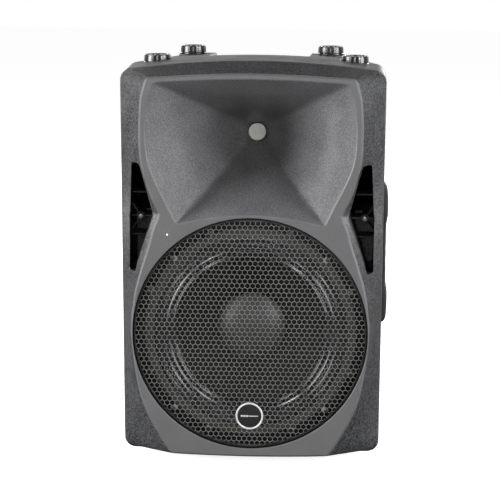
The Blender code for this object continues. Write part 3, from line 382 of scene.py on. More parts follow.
def place_piece(made, body="cabinet", stands_for=(), sharp=33.0, even=False):
    """Shades a piece, ties it to its body, and hides the CAD nodes it stands for."""
    made.data.shade_smooth()
    made.data.set_sharp_from_angle(angle=math.radians(sharp))
    if even:
        modifier = made.modifiers.new("even_shading", "WEIGHTED_NORMAL")
        modifier.keep_sharp = True
        modifier.weight = 100
    if body:
        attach(made, body)
    if stands_for:
        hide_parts(*stands_for)
    return made


def piece(name, shape, looks, body="cabinet", stands_for=(), sharp=33.0, even=False):
    """Makes an object from a shape, and places it."""
    looks = looks if isinstance(looks, tuple) else (looks,)
    return place_piece(raw(name, shape, *looks), body, stands_for, sharp, even)


# ---- materials ----


class Nodes:
    """A short way to build a material's nodes."""

    def __init__(self, name):
        self.material = bpy.data.materials.new(name + "_look")
        self.material.use_nodes = True
        self.tree = self.material.node_tree
        self.shader = self.tree.nodes["Principled BSDF"]
        self.place = self.add("ShaderNodeTexCoord").outputs["Object"]

    def add(self, kind, settings=None, **inputs):
        node = self.tree.nodes.new(kind)
        for key, value in (settings or {}).items():
            setattr(node, key, value)
        for key, value in inputs.items():
            self.join(node.inputs[key.replace("_", " ")], value)
        return node

    def join(self, socket, value):
        if isinstance(value, bpy.types.NodeSocket):
            self.tree.links.new(value, socket)
        else:
            socket.default_value = value

    def noise(self, scale, detail=2.0, roughness=0.5):
        made = self.add("ShaderNodeTexNoise", Vector=self.place, Scale=scale, Detail=detail)
        made.inputs["Roughness"].default_value = roughness
        return made.outputs[0]

    def cells(self, scale):
        made = self.add("ShaderNodeTexVoronoi", {"feature": "SMOOTH_F1"}, Vector=self.place, Scale=scale)
        return made.outputs["Distance"]

    def span(self, value, low, high, start=0.3, end=0.7):
        made = self.add("ShaderNodeMapRange", Value=value)
        made.inputs["From Min"].default_value = start
        made.inputs["From Max"].default_value = end
        made.inputs["To Min"].default_value = low
        made.inputs["To Max"].default_value = high
        return made.outputs[0]

    def blend(self, share, first, second):
        made = self.add("ShaderNodeMix", {"data_type": "RGBA"})
        self.join(made.inputs[0], share)
        self.join(made.inputs[6], first)
        self.join(made.inputs[7], second)
        return made.outputs[2]

    def sum(self, first, second, share):
        made = self.add("ShaderNodeMath", {"operation": "MULTIPLY_ADD"})
        self.join(made.inputs[0], second)
        made.inputs[1].default_value = share
        self.join(made.inputs[2], first)
        return made.outputs[0]

    def bump(self, height, strength, distance):
        made = self.add("ShaderNodeBump", Height=height, Strength=strength, Distance=distance)
        self.join(self.shader.inputs["Normal"], made.outputs[0])


def shade_of(colour, share):
    """A colour made darker or lighter, with full opacity."""
    return (*[min(1.0, c * share) for c in colour], 1.0)


# colour, variation, roughness, its variation, metallic, grain per metre, grain depth in mm, gloss
FINISHES = {
    "face": ((0.106, 0.106, 0.109), 0.16, 0.44, 0.05, 0.0, 800.0, 0.10, 0.45),
    # The facet colour is the face plastic made about three times darker: painted shade on the sloping
    # facets, which face away from the main light.
    "facet": ((0.034, 0.0345, 0.0368), 0.95, 0.45, 0.07, 0.0, 380.0, 0.75, 0.55),
    "horn": ((0.118, 0.118, 0.122), 0.45, 0.44, 0.06, 0.0, 620.0, 0.32, 0.5),
    "shell": ((0.050, 0.050, 0.052), 0.70, 0.46, 0.07, 0.0, 420.0, 0.45, 0.5),
    # The inside colour is near-black, far darker than the same plastic on the face: painted shade on the
    # moulding's inner walls, recess walls and holes.
    "inside": ((0.004, 0.004, 0.004), 0.15, 0.65, 0.05, 0.0, 500.0, 0.10, 0.15),
    # The duct colour is near-black, much darker than the ribs moulded onto it: painted shade deep in the
    # port.
    "duct": ((0.008, 0.008, 0.008), 0.15, 0.5, 0.08, 0.0, 500.0, 0.10, 0.4),
    "black": ((0.018, 0.018, 0.019), 0.15, 0.38, 0.08, 0.0, 900.0, 0.05, 0.5),
    "rubber": ((0.006, 0.006, 0.0065), 0.2, 0.24, 0.05, 0.0, 700.0, 0.01, 0.6),
    "soft_rubber": ((0.014, 0.014, 0.016), 0.2, 0.58, 0.08, 0.0, 900.0, 0.08, 0.45),
    # The grille colour is light grey partly as a painted reflection: the sheet is lightened to stand for the
    # shine of its glossy paint, far lighter than its own folded edge.
    "grille": ((0.21, 0.21, 0.205), 0.12, 0.36, 0.08, 0.2, 1300.0, 0.03, 0.5),
    "steel": ((0.38, 0.38, 0.39), 0.12, 0.32, 0.08, 1.0, 600.0, 0.02, 0.5),
    "silver": ((0.70, 0.70, 0.71), 0.05, 0.22, 0.05, 1.0, 600.0, 0.01, 0.5),
    "plated": ((0.66, 0.66, 0.665), 0.05, 0.38, 0.05, 0.3, 600.0, 0.01, 0.5),
    # The rib colour is a lighter copy of the duct plastic, used for the ribs, boss and webs: painted light
    # on their front edges.
    "rib": ((0.045, 0.045, 0.046), 0.15, 0.5, 0.08, 0.0, 500.0, 0.10, 0.5),
    "fold": ((0.020, 0.020, 0.020), 0.12, 0.4, 0.08, 0.2, 1300.0, 0.03, 0.4),
    "bolt": ((0.08, 0.08, 0.08), 0.15, 0.34, 0.08, 0.9, 600.0, 0.02, 0.5),
    "basket": ((0.004, 0.004, 0.004), 0.15, 0.45, 0.08, 0.0, 800.0, 0.06, 0.2),
    "gasket": ((0.036, 0.035, 0.032), 0.2, 0.75, 0.1, 0.0, 600.0, 0.12, 0.3),
    "roll": ((0.006, 0.006, 0.006), 0.12, 0.26, 0.06, 0.0, 400.0, 0.04, 0.6),
    "cap": ((0.036, 0.036, 0.035), 0.3, 0.42, 0.08, 0.0, 700.0, 0.08, 0.45),
    "lamp": ((0.85, 0.88, 0.92), 0.02, 0.2, 0.02, 0.0, 600.0, 0.01, 0.5),
    "badge": ((0.012, 0.012, 0.012), 0.1, 0.35, 0.05, 0.0, 800.0, 0.01, 0.4),
    "aluminium": ((0.022, 0.022, 0.024), 0.15, 0.42, 0.08, 0.4, 1200.0, 0.04, 0.5),
    "ferrite": ((0.035, 0.033, 0.032), 0.25, 0.7, 0.1, 0.1, 400.0, 0.15, 0.4),
    "board": ((0.02, 0.12, 0.045), 0.2, 0.45, 0.1, 0.0, 300.0, 0.03, 0.5),
    "red": ((0.42, 0.016, 0.014), 0.08, 0.32, 0.05, 0.0, 800.0, 0.02, 0.5),
    "wire": ((0.25, 0.02, 0.02), 0.1, 0.4, 0.05, 0.0, 400.0, 0.03, 0.5),
    "mark": ((0.62, 0.62, 0.60), 0.05, 0.6, 0.05, 0.0, 900.0, 0.01, 0.3),
    "tape": ((0.55, 0.38, 0.06), 0.15, 0.3, 0.08, 0.0, 250.0, 0.10, 0.5),
    "former": ((0.30, 0.16, 0.05), 0.15, 0.35, 0.08, 0.0, 500.0, 0.05, 0.5),
}


LOOKS = {}  # materials made so far


def moulded(name):
    """Moulded, painted or plated surface: colour drift, uneven gloss and a fine grain."""
    colour, drift, rough, rough_drift, metallic, grain, grain_mm, gloss = FINISHES[name]
    made = Nodes(name)
    fine = made.noise(grain, 2.0, 0.7)
    broad = made.noise(26.0, 3.0)
    share = made.span(made.sum(fine, broad, 0.15), 0.0, 1.0, 0.46, 0.69)
    tone = made.blend(share, shade_of(colour, 1 - drift), shade_of(colour, 1 + drift))
    made.join(made.shader.inputs["Base Color"], tone)
    rough_value = made.span(broad, rough - rough_drift, rough + rough_drift)
    made.join(made.shader.inputs["Roughness"], rough_value)
    made.shader.inputs["Metallic"].default_value = metallic
    made.shader.inputs["Specular IOR Level"].default_value = gloss
    made.bump(made.sum(fine, made.cells(grain * 0.8), 0.5), 0.6, grain_mm * MM)
    return made


def lamp_look(name):
    """A lamp lens that glows slightly."""
    made = moulded(name)
    made.shader.inputs["Emission Color"].default_value = (0.9, 0.95, 1.0, 1.0)
    made.shader.inputs["Emission Strength"].default_value = 0.35
    return made


def paper_look(name):
    """Pressed paper: long fibres and a slightly uneven black dye."""
    made = Nodes(name)
    stretch = made.add("ShaderNodeMapping", Vector=made.place, Scale=(1.0, 1.0, 0.25))
    fibres = made.add("ShaderNodeTexNoise", Vector=stretch.outputs[0], Scale=900.0, Detail=4.0)
    clumps = made.noise(180.0, 3.0)
    share = made.span(made.sum(clumps, fibres.outputs[0], 0.7), 0.0, 1.0, 0.7, 1.0)
    tone = made.blend(share, (0.003, 0.003, 0.003, 1), (0.011, 0.0105, 0.010, 1))
    made.join(made.shader.inputs["Base Color"], tone)
    made.join(made.shader.inputs["Roughness"], made.span(clumps, 0.68, 0.85))
    made.shader.inputs["Specular IOR Level"].default_value = 0.15
    made.bump(made.sum(clumps, fibres.outputs[0], 1.0), 0.7, 0.12 * MM)
    return made


def cloth_look(name, colour, pitch, gap_share):
    """Woven threads crossing at right angles, with dark gaps between them."""
    made = Nodes(name)
    turned = made.add("ShaderNodeMapping", Vector=made.place, Rotation=(math.pi / 2, 0, 0))
    waves = []
    for direction in ("X", "Y"):
        settings = {"wave_type": "BANDS", "bands_direction": direction, "wave_profile": "SIN"}
        wave = made.add("ShaderNodeTexWave", settings, Vector=turned.outputs[0], Scale=0.314 / pitch)
        waves.append(wave.outputs["Fac"])
    threads = made.add("ShaderNodeMath", {"operation": "MAXIMUM"})
    made.join(threads.inputs[0], waves[0])
    made.join(threads.inputs[1], waves[1])
    share = made.span(threads.outputs[0], 0.0, 1.0, gap_share, gap_share + 0.25)
    drift = made.blend(made.noise(240.0), shade_of(colour, 0.8), shade_of(colour, 1.15))
    made.join(made.shader.inputs["Base Color"], made.blend(share, shade_of(colour, 0.25), drift))
    made.join(made.shader.inputs["Roughness"], made.span(made.noise(300.0), 0.6, 0.85))
    made.bump(threads.outputs[0], 0.6, 0.15 * MM)
    return made


def brushed_look(name):
    """Powder-coated sheet with faint lines from rolling."""
    made = moulded("aluminium")
    made.material.name = name + "_look"
    stretch = made.add("ShaderNodeMapping", Vector=made.place, Scale=(12.0, 400.0, 900.0))
    lines = made.add("ShaderNodeTexNoise", Vector=stretch.outputs[0], Scale=1.0, Detail=2.0)
    made.join(made.shader.inputs["Roughness"], made.span(lines.outputs[0], 0.36, 0.52))
    return made


def look(name):
    """The material of that name, made on first use."""
    if name not in LOOKS:
        if name == "paper":
            made = paper_look(name)
        elif name == "spider_cloth":
            made = cloth_look(name, (0.55, 0.38, 0.15), 1.1, 0.35)
        elif name == "screen":
            made = cloth_look(name, (0.90, 0.88, 0.83), 0.8, 0.6)
        elif name == "panel":
            made = brushed_look(name)
        elif name == "lamp":
            made = lamp_look(name)
        else:
            made = moulded(name)
        LOOKS[name] = made.material
    return LOOKS[name]


# ---- front ----


def face_lines():
    """Dense outlines of the raised face and of the rim, with matching points."""
    line = smooth([Vector((*face, *rim)) for face, rim in STATIONS], 6)
    face = both_sides([(p[0], p[1]) for p in line])
    rim = both_sides([(p[2], p[3]) for p in line])
    return face, rim


def face_edge(up):
    """Half-width of the raised face at a height on its side."""
    side = [face for face, _ in STATIONS if face[0] > 120.0]
    lower = max((face for face in side if face[1] <= up), key=lambda face: face[1])
    upper = min((face for face in side if face[1] > up), key=lambda face: face[1])
    return mix(lower[0], upper[0], (up - lower[1]) / (upper[1] - lower[1]))


def facet_depth(x, up):
    """Depth of the sloping side facet at a point."""
    edge = face_edge(up)
    return mix(3.0, RIM_DEPTH - 2.0, (abs(x) - edge) / (RIM_HALF - edge))


def mouth_line():
    """Right half of the horn's mouth as (x, up, direction on the throat), and its corners' places."""
    half = []
    corners = []
    for run, count in ((MOUTH_TOP, 11), (MOUTH_SIDE, 9), (MOUTH_LOW, 11)):
        points = smooth([Vector((*point, degrees)) for point, degrees in run], count)
        half += points[:-1]
        corners.append(len(half))
    half.append(Vector((0.0, 165.9, -90.0)))
    return half, corners[:2]


def soften(line, corner, reach):
    """Rounds one corner of a dense line by moving the points near it onto a curve."""
    distances = {corner: 0.0}
    for way in (-1, 1):
        i = corner
        while 0 <= i + way < len(line) and abs(distances[i]) < reach:
            distances[i + way] = distances[i] + way * (line[i + way] - line[i]).length
            i += way
    first, last = min(distances), max(distances)
    here = [(i, distances[i]) for i in range(first + 1, last)]
    start, point, end = line[first], line[corner], line[last]
    for i, distance in here:
        side = distances[last] if distance > 0 else -distances[first]
        t = 0.5 + 0.5 * distance / side
        line[i] = start * (1 - t) ** 2 + point * 2 * t * (1 - t) + end * t * t


def throat_share(depth):
    """How far the horn has narrowed at a depth, from 0 at its mouth to 1 at its throat."""
    t = depth / THROAT_DEPTH
    return t * (1 + HORN_FLARE - HORN_FLARE * t)


def horn_ring(depth, grow=0.0):
    """The horn's outline at a depth, grown outwards by a wall where one is given."""
    share = throat_share(depth)
    mouth, corners = mouth_line()
    half = []
    for x, up, degrees in mouth:
        angle = math.radians(degrees)
        throat = (THROAT_R * math.cos(angle), THROAT_UP + THROAT_R * math.sin(angle))
        half.append(Vector((max(0.0, mix(x, throat[0], share)), mix(up, throat[1], share))))
    for corner in corners:
        soften(half, corner, CREASE_MIN + CREASE_RISE * math.sin(math.pi * min(1.0, share)))
    half[0].x = half[-1].x = 0.0
    return inset(both_sides(half), -grow)


def throat_ring(radius):
    """A circle about the throat with a point for each point of the horn's outline."""
    half = []
    for _, _, degrees in mouth_line()[0]:
        angle = math.radians(degrees)
        half.append((radius * math.cos(angle), THROAT_UP + radius * math.sin(angle)))
    half[0], half[-1] = (0.0, half[0][1]), (0.0, half[-1][1])
    return both_sides(half)


def spread(outline, depth):
    """World points of an outline at one depth."""
    return [at(x, up, depth) for x, up in outline]


def baffle_body():
    """Front moulding without openings: smooth waisted face, grained facets and the inside of the rim. The
    facets' darker colour and the near-black inside are painted shade.
    """
    face, rim = face_lines()
    columns = []
    middle = Vector((0.0, 90.0))
    inner_face = [tuple(middle + (Vector(point) - middle) * FACE_SHRINK) for point in face]
    inner_rim = inset(rim, SHELL_WALL)
    lip = inset(rim, SHELL_WALL - 1.0)
    front = inset(face, 3.0)
    for i in range(len(face)):
        slope = [at(*mix(Vector(face[i]), Vector(rim[i]), s / 5), mix(3.0, 43.0, s / 5)) for s in range(6)]
        column = [at(*front[i], 0.0)] + slope
        column += [at(*rim[i], RIM_DEPTH), at(*lip[i], RIM_DEPTH)]
        column += [at(*inner_rim[i], RIM_DEPTH - RIM_LIP), at(*inner_face[i], FACE_WALL)]
        radii = [0, 3.2 * MM, 0, 0, 0, 0, 1.6 * MM, 0.4 * MM, 0.3 * MM, 0, 0]
        columns.append(rounded(column, radii, 4, closed=False))
    rings = [list(ring) for ring in zip(*columns)]
    shape = bmesh.new()
    faces = skin(shape, rings)
    count = len(face)
    for face_index, made in enumerate(faces):
        ring = face_index // count
        # The sloping facets take the darker facet colour and the rim's inner side takes the near-black
        # inside colour: both are painted shade.
        made.material_index = 0 if ring < 2 else 1 if ring < 16 else 2
    faces[-2].material_index = 0
    faces[-1].material_index = 2
    return raw("baffle_front", shape, "face", "facet", "inside")


def cut_recess(baffle):
    """Cup and recess for the woofer, with the hole that the cone shows through."""
    cup = bmesh.new()
    turn(cup, [(CUP_R, 6.0), (CUP_R, SHELF_BACK)], at(0, 0, 0), steps=ROUND, look_index=2)
    carve(baffle, cup, "UNION")
    recess = bmesh.new()
    well(recess, circle(0, 0, RECESS_R, 144), 0.0, RECESS_FLOOR, lip=1.3)
    # Recess walls deeper than 2 mm take the near-black inside colour: painted shade in the recess.
    for made in recess.faces:
        depth = (made.calc_center_median().y - FRONT_Y) / MM
        made.material_index = 2 if depth > 2.0 else 0
    carve(baffle, recess)
    cutout = bmesh.new()
    turn(cutout, [(CUTOUT_R, 12.0), (CUTOUT_R, 44.0)], at(0, 0, 0), steps=ROUND, look_index=2)
    carve(baffle, cutout)


def cut_mouth(baffle):
    """The horn's mouth, with a rounded lip."""
    mouth = bmesh.new()
    lip = 1.5
    rings = [spread(horn_ring(0.0, lip), -4.0)]
    for step in range(5):
        a = math.pi / 2 * step / 4
        depth = lip * (1 - math.cos(a)) - 0.02
        rings.append(spread(horn_ring(max(0.0, depth), lip * (1 - math.sin(a))), depth))
    rings += [spread(horn_ring(depth, 0.5), depth) for depth in (lip + 0.05, 5.0, FACE_WALL + 3.0)]
    skin(mouth, rings, look_index=0)
    for made in mouth.faces:
        made.material_index = 3 if (made.calc_center_median().y - FRONT_Y) / MM > lip else 0
    baffle.data.materials.append(look("horn"))
    carve(baffle, mouth)


def cut_ports(baffle):
    """The ports' openings in the facets, with rounded lips."""
    outline = rounded([point for point, _ in PORT], [radius for _, radius in PORT], 5)
    lip = 2.6
    for side in (-1, 1):
        opening = bmesh.new()
        rings = []
        for step in range(-1, 6):
            a = math.pi / 2 * max(0, step) / 5
            grown = inset(outline, -lip * (1 - math.sin(a)))
            drop = lip * (1 - math.cos(a)) - (0.05 if step >= 0 else 8.0)
            rings.append([at(side * x, up, facet_depth(x, up) + drop) for x, up in grown])
        rings.append([at(side * x, up, 60.0) for x, up in outline])
        skin(opening, rings, look_index=1)
        carve(baffle, opening)


def make_baffle():
    """Front moulding with all of its openings and holes."""
    baffle = baffle_body()
    cut_recess(baffle)
    cut_mouth(baffle)
    cut_ports(baffle)
    holes = bmesh.new()
    well(holes, circle(*LED_AT, 1.9, 20), 0.0, FACE_WALL + 2, lip=0.3, look_index=2)
    for x, up in places_round(BOLT_CIRCLE, 8, 22.5) + places_round(BOLT_CIRCLE, 4, 45.0):
        turn(holes, [(2.7, 20.0), (2.7, 34.0)], at(x, up, 0), steps=12, look_index=2)
    carve(baffle, holes)
    place_piece(baffle, stands_for=("front_baffle",), even=True)


def make_horn():
    """Horn flare with softly creased corners between its four walls."""
    starts, ends = FACE_WALL + 0.3, THROAT_DEPTH - 4.0
    depths = [mix(starts, ends, i / 18) for i in range(19)]
    lining = [1.65, 5.0, FACE_WALL]
    rings = [spread(horn_ring(depth), depth) for depth in lining + depths + [THROAT_DEPTH]]
    rings.append(spread(throat_ring(THROAT_R), THROAT_DEPTH + 2.0))
    rings.append(spread(throat_ring(FLANGE_R), THROAT_DEPTH + 2.0))
    rings.append(spread(throat_ring(FLANGE_R), ends))
    rings += [spread(horn_ring(depth, HORN_WALL), depth) for depth in reversed(depths)]
    rings += [spread(horn_ring(depth, 0.35), depth) for depth in reversed(lining)]
    shape = bmesh.new()
    skin(shape, rings, closed=True)
    horn = raw("horn", shape, "horn")
    holes = bmesh.new()
    for side in (-1, 1):
        turn(holes, [(3.4, 170.0), (3.4, 190.0)], at(side * 38.1, THROAT_UP, 0), steps=16)
    carve(horn, holes)
    place_piece(horn, stands_for=("horn_flare",))


def make_port(side, label):
    """Port duct behind its opening, with thin cross ribs, a screw boss and its webs."""
    outline = [tuple(p) for p in rounded([p for p, _ in PORT], [r for _, r in PORT], 5)]
    outer = inset(outline, -DUCT_WALL)

    def front(x, up):
        inside_edge = face_edge(up) * FACE_SHRINK - 0.5
        share = (x - inside_edge) / (RIM_HALF - SHELL_WALL - inside_edge)
        return mix(FACE_WALL, RIM_DEPTH - RIM_LIP, share) + 2.5

    def ring(line, depth=None):
        return [at(side * x, up, depth or front(x, up)) for x, up in line]

    shape = bmesh.new()
    middle = [ring(line, 60.0) for line in (outline, outer)]
    rings = [ring(outline), middle[0], ring(outline, DUCT_BACK)]
    rings += [ring(outer, DUCT_BACK), middle[1], ring(outer)]
    skin(shape, rings, closed=True)
    # The duct walls take the near-black duct colour and the ribs, boss and webs the lighter rib colour:
    # painted shade and painted light on one moulding.
    duct = raw("port_" + label, shape, "duct", "rib")
    ribs = bmesh.new()
    for up in PORT_RIBS:
        x0, x1 = sorted((side * 131.0, side * 167.5))
        slab(ribs, rect(x0, x1, up - 1.2, up + 1.2), 62.0, 100.0, soft=0.8, look_index=1)
    carve(duct, ribs, "UNION")
    boss = bmesh.new()
    profile = [(0.3, 58.0), (6.0, 58.0), (6.0, 90.0), (0.3, 90.0)]
    profile = rounded(profile, [0, 0.8, 0.8, 0], 3, closed=False)
    turn(boss, profile, at(side * PORT_BOSS_X, PORT_RIBS[1], 0), steps=SMALL, look_index=1)
    carve(duct, boss, "UNION")
    webs = bmesh.new()
    for way in (-1, 1):
        inner = Vector((PORT_BOSS_X + 3.0, PORT_RIBS[1] + way * 4.0))
        outer_end = Vector((167.5, PORT_RIBS[1] + way * 19.0))
        across = (outer_end - inner).normalized()
        normal = Vector((-across.y, across.x)) * 0.7
        corners = (inner + normal, outer_end + normal, outer_end - normal, inner - normal)
        rings = [[at(side * x, up, depth) for x, up in corners] for depth in (61.0, 89.0)]
        skin(webs, rings, look_index=1)
    carve(duct, webs, "UNION")
    place_piece(duct, stands_for=("port_duct_" + label,))


def drive_wave(arms):
    """Outline of a screw's recess: four arms for a cross, six flats for a hexagon."""

    def cross(angle):
        turn_angle = (angle + math.pi / 4) % (math.pi / 2) - math.pi / 4
        return 1.0 if abs(turn_angle) < math.radians(14) else 0.42

    def hexagon(angle):
        return math.cos(math.pi / 6) / math.cos((angle % (math.pi / 3)) - math.pi / 6)

    return cross if arms == 4 else hexagon


def add_screw(shape, centre, axis, way, radius, height, shank, arms=4, washer=0.0):
    """A screw head with a real recess, standing out of a surface in the given way along an axis."""
    along = {"X": Vector((1, 0, 0)), "Y": Vector((0, 1, 0)), "Z": Vector((0, 0, 1))}[axis]
    head = [(radius, 0.0), (radius, height * 0.45), (radius * 0.8, height * 0.88), (radius * 0.62, height)]
    head = [tuple(p) for p in rounded(head, [0, radius * 0.15, radius * 0.2, 0], 3, closed=False)]
    profile = [(radius * 0.45, -shank)] + [(radius * 0.45, 0.0)] + head
    wave = drive_wave(arms)
    u = along.orthogonal().normalized()
    v = along.cross(u)
    steps = 48
    angles = [math.tau * i / steps for i in range(steps)]
    rings = []
    for reach, rise in profile:
        middle = centre + along * way * rise * MM
        rings.append([middle + (u * math.cos(a) + v * math.sin(a)) * reach * MM for a in angles])
    for scale, rise in ((0.56, height), (0.52, height * 0.94), (0.44, height * 0.35)):
        middle = centre + along * way * rise * MM
        ring = []
        for a in angles:
            ring.append(middle + (u * math.cos(a) + v * math.sin(a)) * radius * scale * wave(a) * MM)
        rings.append(ring)
    skin(shape, rings)
    if washer:
        ring = [(washer, 0.0), (washer, 0.5), (washer - 0.4, 0.9), (radius * 0.6, 0.9), (radius * 0.6, 0.0)]
        turn(shape, [(r, way * d) for r, d in ring], centre, axis, SMALL, ring=True)


def make_port_screws():
    """The cross-head screw in each port's boss."""
    for side, label in ((-1, "left"), (1, "right")):
        shape = bmesh.new()
        centre = at(side * PORT_BOSS_X, PORT_RIBS[1], 57.7)
        add_screw(shape, centre, "Y", -1, 4.2, 2.6, 24.0)
        piece("clamp_screw_" + label, shape, "steel", stands_for=("port_screw_" + label,))


def make_seal():
    """Thin sealing cord in the parting line."""
    _, rim = face_lines()
    shape = bmesh.new()
    rings = [spread(inset(rim, 1.5), 45.3), spread(inset(rim, 1.5), 46.3)]
    rings += [spread(inset(rim, 3.8), 46.3), spread(inset(rim, 3.8), 45.3)]
    skin(shape, rings, closed=True)
    piece("parting_seal", shape, "soft_rubber", stands_for=("shell_seal",))


def make_grille():
    """Steel grille: a flat sheet of hexagonal holes."""
    pitch, web, edge = GRILLE_PITCH, GRILLE_WEB, GRILLE_R - GRILLE_EDGE
    row = pitch * math.sqrt(3) / 2
    outer_r, hole_r = pitch / math.sqrt(3), (pitch - web) / math.sqrt(3)
    corners = [(math.sin(math.tau * i / 6), math.cos(math.tau * i / 6)) for i in range(6)]
    shape = bmesh.new()
    known = {}

    def corner(x, up):
        reach = math.hypot(x, up)
        if reach > edge:
            x, up = x * edge / reach, up * edge / reach
        key = (round(x, 2), round(up, 2))
        if key not in known:
            known[key] = shape.verts.new(at(x, up, GRILLE_FRONT))
        return known[key]

    screws = places_round(BOLT_CIRCLE, 4, 45.0)
    rows = int(edge / row) + 2
    for j in range(-rows, rows + 1):
        for i in range(-rows - 2, rows + 3):
            x, up = pitch * (i + (j % 2) / 2), row * j
            reach = math.hypot(x, up)
            rim = [corner(x + a * outer_r, up + b * outer_r) for a, b in corners]
            if reach > edge + 0.5:
                continue
            plain = any(math.hypot(x - a, up - b) < 4.2 for a, b in screws)
            if plain:
                ring = list(dict.fromkeys(rim))
                if len(ring) > 2:
                    shape.faces.new(ring)
                continue
            hole = []
            for a, b in corners:
                point = Vector((x + a * hole_r, up + b * hole_r))
                if point.length > edge - 0.6:
                    point = point.normalized() * (edge - 0.6)
                hole.append(shape.verts.new(at(point.x, point.y, GRILLE_FRONT)))
            for k in range(6):
                n = (k + 1) % 6
                ring = list(dict.fromkeys((rim[k], rim[n], hole[n], hole[k])))
                if len(ring) > 2:
                    shape.faces.new(ring)
    front = shape.faces[:]
    solid = bmesh.ops.extrude_face_region(shape, geom=front)
    moved = [item for item in solid["geom"] if isinstance(item, bmesh.types.BMVert)]
    bmesh.ops.translate(shape, verts=moved, vec=Vector((0, GRILLE_SHEET * MM, 0)))
    # The sheet's light grey colour is partly a painted reflection of its glossy paint.
    piece("grille_mesh", shape, "grille", stands_for=("grille",), sharp=25.0)


def make_grille_fold():
    """The grille's edge, folded back into the recess."""
    edge = GRILLE_R - GRILLE_EDGE
    fold = bmesh.new()
    profile = [(edge - 0.7, GRILLE_FRONT), (GRILLE_R, GRILLE_FRONT), (GRILLE_R, 14.0)]
    profile += [(GRILLE_R - 1.0, 14.0), (GRILLE_R - 1.0, 3.6), (edge - 0.7, 3.6)]
    turn(fold, rounded(profile, [0, 1.6, 0.3, 0.3, 0.5, 0], 4), at(0, 0, 0), steps=144, ring=True)
    piece("grille_fold", fold, "fold")


def make_front_screws():
    """Grille screws and the woofer's bolts behind the grille."""
    shape = bmesh.new()
    for x, up in places_round(BOLT_CIRCLE, 4, 45.0):
        add_screw(shape, at(x, up, GRILLE_FRONT - 0.1), "Y", -1, 3.3, 1.9, 16.0)
    piece("grille_screws", shape, "bolt")
    shape = bmesh.new()
    for x, up in places_round(BOLT_CIRCLE, 8, 22.5):
        add_screw(shape, at(x, up, 19.3), "Y", -1, 5.0, 5.0, 14.0, arms=6, washer=6.2)
    piece("woofer_bolts", shape, "bolt")


def make_badge():
    """Round badge: a raised bright ring round a dark dished face with plain bars."""
    shape = bmesh.new()
    r = BADGE_R
    ring = [(r, 2.3), (r, 1.3), (r - 0.5, 0.7), (r - 1.9, 0.7), (r - 2.4, 1.3), (r - 2.4, 2.3)]
    turn(shape, rounded(ring, 0.3, 3), at(0, BADGE_UP, 0), steps=ROUND, ring=True)
    piece("badge_ring", shape, "plated", stands_for=("badge",))
    shape = bmesh.new()
    dish = [(r - 2.3, 2.2), (r - 2.3, 1.5), (r - 3.4, 1.35), (7.0, 1.2), (0.2, 1.15)]
    turn(shape, dish, at(0, BADGE_UP, 0), steps=64)
    piece("badge_face", shape, "badge")
    shape = bmesh.new()
    for start in (-12.0, -8.4, -4.8):
        slab(shape, rect(start, start + 3.0, BADGE_UP - 1.2, BADGE_UP + 1.2, 0.4), 1.0, 1.5, soft=0.12)
    slab(shape, rect(-1.2, 12.0, BADGE_UP - 0.6, BADGE_UP + 0.6, 0.3), 1.05, 1.5, soft=0.1)
    piece("badge_bars", shape, "plated")


def make_led():
    """Small white lamp in the face."""
    shape = bmesh.new()
    profile = rounded([(0.3, 0.15), (1.0, 0.2), (1.5, 0.8), (1.5, 12.0)], [0, 0.5, 0.4, 0], 4, closed=False)
    turn(shape, profile, at(*LED_AT, 0), steps=24)
    piece("power_lamp", shape, "lamp", stands_for=("power_led",))


# ---- woofer ----


def make_woofer_frame():
    """Pressed basket with six windows."""
    shape = bmesh.new()
    profile = [(155.0, 19.5), (155.0, 21.7), (139.5, 21.7), (136.5, 32.0), (92.0, 76.0), (88.0, 84.0)]
    profile += [(66.0, 88.5), (64.0, 90.7), (34.5, 90.7), (34.5, 86.0), (60.0, 85.0), (74.0, 80.0)]
    profile += [(74.0, 76.3), (84.0, 76.3), (88.0, 74.0), (131.5, 31.0), (131.5, 19.5)]
    radii = [0.6, 0.4, 1, 3, 4, 3, 2, 0.5, 0.5, 0.5, 1, 1, 0.5, 0.5, 2, 3, 0.6]
    turn(shape, rounded(profile, radii, 3), at(0, 0, 0), steps=ROUND, ring=True)
    basket = raw("woofer_basket", shape, "basket")
    windows = bmesh.new()
    for i in range(6):
        angle = math.tau * (i + 0.5) / 6
        across = Vector((math.cos(angle), 0, math.sin(angle)))
        along = Vector((-math.sin(angle), 0, math.cos(angle)))
        corners = rounded(((96.0, -30.0), (140.0, -48.0), (140.0, 48.0), (96.0, 30.0)), 9.0)
        rings = [
            [at(0, 0, depth) + (across * r + along * t) * MM for r, t in corners] for depth in (38.0, 69.0)
        ]
        skin(windows, rings)
    for x, up in places_round(BOLT_CIRCLE, 8, 22.5) + places_round(BOLT_CIRCLE, 4, 45.0):
        turn(windows, [(2.7, 15.0), (2.7, 25.0)], at(x, up, 0), steps=12)
    carve(basket, windows)
    place_piece(basket, stands_for=("woofer_frame",))


def arc_wedge(name, line, look_name, slot, span, start, end, node):
    """One sector of a turned soft part, spanning from the frame to the moving cone."""
    shape = bmesh.new()
    steps = 5
    rings = []
    first, last = span
    for step in range(steps + 1):
        angle = mix(first, last, step / steps)
        way = Vector((math.cos(angle), 0, math.sin(angle)))
        rings.append([at(0, 0, depth) + way * radius * MM for radius, depth in line])
    skin(shape, rings)
    made = raw(name, shape, look_name)
    made.data.shade_smooth()
    made.data.set_sharp_from_angle(angle=math.radians(50))
    middle = (first + last) / 2
    way = Vector((math.cos(middle), 0, math.sin(middle)))
    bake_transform(made)
    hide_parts(node)


